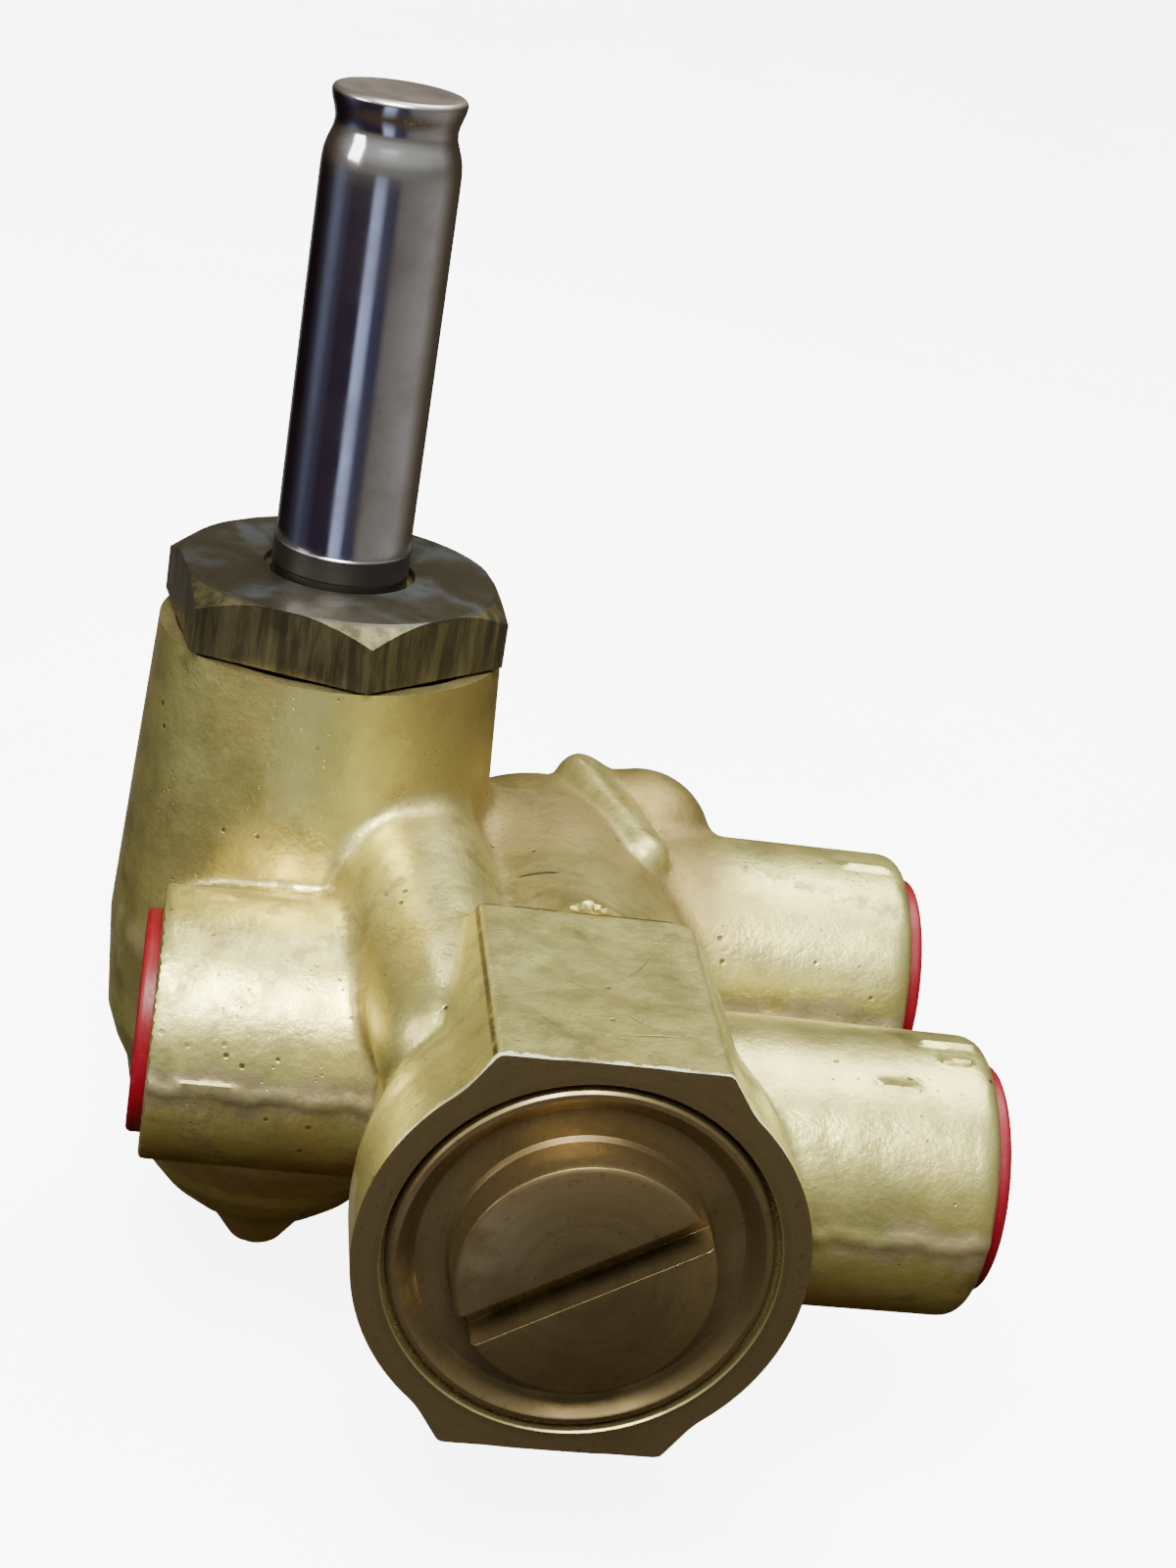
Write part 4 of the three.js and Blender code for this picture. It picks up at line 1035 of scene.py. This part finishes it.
def floor_paper():
    look = Look("floor_paper", 0.0, 0.9)
    cloud = look.noise(60, 2, 0.5)
    color = look.mix(look.ramp(cloud, 0.3, 0.7), (0.90, 0.90, 0.90), (0.92, 0.92, 0.92))
    look.links.new(color, look.shader.inputs["Emission Color"])
    look.shader.inputs["Emission Strength"].default_value = 7.0
    return look.finish(color)


def dress(piece, *materials):
    piece.data.materials.clear()
    for material in materials:
        piece.data.materials.append(material)


def mark_machined(body):
    """Gives the faced front the second material and the bores the third, and marks creases and the rib."""
    mesh = body.data
    centres = np.empty(len(mesh.polygons) * 3)
    normals = np.empty(len(mesh.polygons) * 3)
    mesh.polygons.foreach_get("center", centres)
    mesh.polygons.foreach_get("normal", normals)
    x, y, z = (centres.reshape(-1, 3) * 1000 - shift).T
    normal = normals.reshape(-1, 3)
    skin = 0.01
    front = (np.abs(y) < skin) & (normal[:, 1] < -0.9)
    bored = (np.abs(z - COLUMN_TOP) < skin) & (normal[:, 2] > 0.9)
    from_bore = np.hypot(x, z)
    bored |= (from_bore < CAP_RECESS_R + 0.2) & (y < CAP_BORE_DEPTH + skin)
    bored |= (from_bore < CAGE_R + 0.05) & (y < PISTON_BORE_END + skin) & (np.abs(x) < CAGE_R)
    from_column = np.hypot(x - COLUMN_X, y - COLUMN_Y)
    bored |= (from_column < COLUMN_BORE_R + 1.7) & (z > RELAY_BORE_END - 3.1)
    for side, port_y in PORTS:
        from_port = np.hypot(y - port_y, z)
        bored |= (from_port < PORT_MOUTH_R + 0.05) & (side * x > PORT_REACH - PORT_BORE_DEPTH - 4)
        bored |= (from_port < PORT_R - 0.5) & (side * x > PORT_REACH - 0.35)
    index = np.where(front, 1, np.where(bored, 2, 0))
    mesh.polygons.foreach_set("material_index", index.astype(np.int32))
    places = np.empty(len(mesh.vertices) * 3)
    mesh.vertices.foreach_get("co", places)
    p = places.reshape(-1, 3) * 1000 - shift
    crease = np.zeros(len(p))
    body_field(p, crease)
    # the rib's place, which the rear's painted shade leaves out
    on_rib = np.clip(1 - rib_field(p) / 0.5, 0, 1)
    for name, values in (("crease", crease), ("on_rib", on_rib)):
        mesh.attributes.new(name, "FLOAT", "POINT").data.foreach_set("value", values.astype(np.float32))
    mesh.update()


# ---------- stage ----------
def area_light(name, place, size, power, color):
    """A square light that points at the object."""
    light = bpy.data.lights.new(name, "AREA")
    light.shape = "RECTANGLE"
    light.size = size
    light.size_y = size
    light.energy = power
    light.color = color
    lamp = bpy.data.objects.new(name, light)
    lamp.location = place
    lamp.rotation_euler = (Vector((0, 0.02, 0.03)) - Vector(place)).to_track_quat("-Z", "Y").to_euler()
    bpy.context.scene.collection.objects.link(lamp)


def color_ramp(nodes, links, value, stops):
    """Colours at places from 0 to 1, blended between."""
    ramp = nodes.new("ShaderNodeValToRGB")
    links.new(value, ramp.inputs["Fac"])
    elements = ramp.color_ramp.elements
    for element, (place, color) in ((elements[0], stops[0]), (elements[1], stops[-1])):
        element.position = place
        element.color = (*color, 1)
    for place, color in stops[1:-1]:
        elements.new(place).color = (*color, 1)
    return ramp.outputs["Color"]


def from_zero(nodes, links, value):
    """A direction's component, from -1..1 to 0..1."""
    node = nodes.new("ShaderNodeMapRange")
    node.inputs["From Min"].default_value = -1.0
    links.new(value, node.inputs["Value"])
    return node.outputs["Result"]


def blended(nodes, links, share, a, b, blend="MIX"):
    """Colour a blended with colour b; share, a and b are sockets or plain values."""
    node = nodes.new("ShaderNodeMix")
    node.data_type = "RGBA"
    node.blend_type = blend
    for place, value in ((0, share), (6, a), (7, b)):
        if isinstance(value, (int, float, tuple)):
            node.inputs[place].default_value = value
        else:
            links.new(value, node.inputs[place])
    return node.outputs[2]


def sky(nodes, links):
    """Bright above, dark below and behind, and in front upright bands that a polished tube mirrors."""
    spot = nodes.new("ShaderNodeTexCoord")
    split = nodes.new("ShaderNodeSeparateXYZ")
    links.new(spot.outputs["Generated"], split.inputs[0])
    across, depth, height = (from_zero(nodes, links, split.outputs[letter]) for letter in "XYZ")
    bands = color_ramp(nodes, links, across, (
        (0.00, (0.24, 0.28, 0.38)), (0.03, (0.08, 0.08, 0.12)), (0.08, (0.045, 0.03, 0.05)),
        (0.27, (0.05, 0.035, 0.055)), (0.32, (0.75, 0.88, 1.2)), (0.41, (0.60, 0.72, 1.0)),
        (0.48, (0.09, 0.09, 0.15)), (0.60, (0.07, 0.07, 0.10)), (0.68, (0.24, 0.23, 0.20)),
        (0.90, (0.36, 0.34, 0.29)), (1.00, (0.46, 0.44, 0.38)),
    ))
    tiers = color_ramp(nodes, links, height, (
        (0.00, (0.09, 0.055, 0.02)), (0.36, (0.15, 0.11, 0.06)), (0.47, (0.28, 0.25, 0.20)),
        (0.55, (0.32, 0.31, 0.26)), (0.68, (0.62, 0.65, 0.56)), (1.00, (0.85, 0.92, 0.80)),
    ))
    share = color_ramp(nodes, links, height, (
        (0.16, (0, 0, 0)), (0.26, (1, 1, 1)), (0.40, (1, 1, 1)), (0.50, (0, 0, 0)),
    ))
    behind = color_ramp(nodes, links, depth, (
        (0.50, (1, 1, 1)), (0.66, (0.60, 0.56, 0.48)), (0.80, (0.34, 0.29, 0.22)), (1.00, (0.30, 0.25, 0.18)),
    ))
    return blended(nodes, links, 1.0, blended(nodes, links, share, tiers, bands), behind, "MULTIPLY")


def studio():
    """The sky that the metal mirrors, white paper where the camera sees past the floor, and three lights."""
    world = bpy.data.worlds.new("studio")
    bpy.context.scene.world = world
    world.use_nodes = True
    nodes, links = world.node_tree.nodes, world.node_tree.links
    seen = nodes.new("ShaderNodeLightPath").outputs["Is Camera Ray"]
    backdrop = blended(nodes, links, seen, sky(nodes, links), (9, 9, 9, 1))
    links.new(backdrop, nodes["Background"].inputs["Color"])
    nodes["Background"].inputs["Strength"].default_value = 0.75
    area_light("key", (-0.12, -0.40, 0.62), 0.36, 17, (0.97, 1.0, 0.90))
    area_light("top", (0.22, 0.20, 0.70), 0.45, 7, (0.93, 1.0, 0.93))
    area_light("left", (-0.62, -0.18, 0.30), 0.25, 1.8, (1.0, 0.97, 0.90))


def floor():
    """A wide sheet of paper under the object; the metal doesn't mirror it."""
    half = 3.0
    z = body_low[2] / 1000.0
    mesh = bpy.data.meshes.new("floor")
    corners = [(-half, -half, z), (half, -half, z), (half, half, z), (-half, half, z)]
    mesh.from_pydata(corners, [], [(0, 1, 2, 3)])
    plane = bpy.data.objects.new("floor", mesh)
    bpy.context.scene.collection.objects.link(plane)
    dress(plane, floor_paper())
    plane.visible_glossy = False
    plane.visible_diffuse = False


# ---------- the scene ----------
def show(piece, body, node):
    """Puts a piece on its body, in the place of its CAD node."""
    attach(piece, body)
    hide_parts(node)


add_camera()
front_metal = turned_brass("faced_brass", (0.25, 0.18, 0.084), (0.15, 0.105, 0.048), 0.36)
bore_metal = turned_brass("bored_brass", (0.58, 0.47, 0.22), (0.45, 0.35, 0.16), 0.3)
rubber = lightly_mottled("black_rubber", 0.0, (0.014, 0.014, 0.014), (0.04, 0.038, 0.036),
                         2, 0.3, (1, 1, 1), 0.01, (0.6, 0.85))
steel = lightly_mottled("turned_steel", 1.0, (0.52, 0.52, 0.54), (0.40, 0.39, 0.39),
                        4, 0.4, (0.2, 0.2, 1.0), 0.012, (0.22, 0.38))

body_piece = forged_body()
dress(body_piece, forged_brass(), front_metal, bore_metal)
mark_machined(body_piece)
show(body_piece, "body", "valve_body")

cap_piece = end_cap()
dress(cap_piece, turned_brass("cap_brass", (0.24, 0.172, 0.083), (0.135, 0.095, 0.044), 0.33))
show(cap_piece, "body", "front_end_cap")

hex_piece = hex_base()
dress(hex_piece, hex_bronze())
show(hex_piece, "body", "solenoid_base")

tube_piece = tube()
dress(tube_piece, polished_tube())
show(tube_piece, "body", "core_tube")

plastic = red_plastic()
for plug_name, plug_side, plug_y, plug_body, plug_node in (
    ("left_plug", -1, LEFT_PORT_Y, "left_cap", "left_port_cap"),
    ("front_plug", 1, FRONT_PORT_Y, "front_cap", "front_port_cap"),
    ("rear_plug", 1, REAR_PORT_Y, "rear_cap", "rear_port_cap"),
):
    plug = port_plug(plug_name, plug_side, plug_y)
    dress(plug, plastic)
    show(plug, plug_body, plug_node)

for node, wire, turns, joint, travel, still_end in (
    ("core_spring", 0.35, 6, "core_slide", CORE_TRAVEL, 1),
    ("relay_spring", 0.55, 4, "relay_slide", RELAY_TRAVEL, 0),
):
    spring = coil_spring(node, wire, turns)
    dress(spring, steel)
    show(spring, "body", node)
    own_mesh(spring)

inner_brass = turned_brass("inner_brass", (0.62, 0.50, 0.24), (0.50, 0.39, 0.18), 0.28)
by_slot = {"rubber": rubber, "steel": steel, "polished_steel": steel, "copper": copper(),
           "turned_brass": inner_brass, "tarnished_brass": inner_brass}
for entry in frame["record"]["subparts"]:
    node = frame["nodes"][entry["node"]]
    if entry["material_slot"] in by_slot and not node.hide_render:
        dress(node, by_slot[entry["material_slot"]])

studio()
floor()
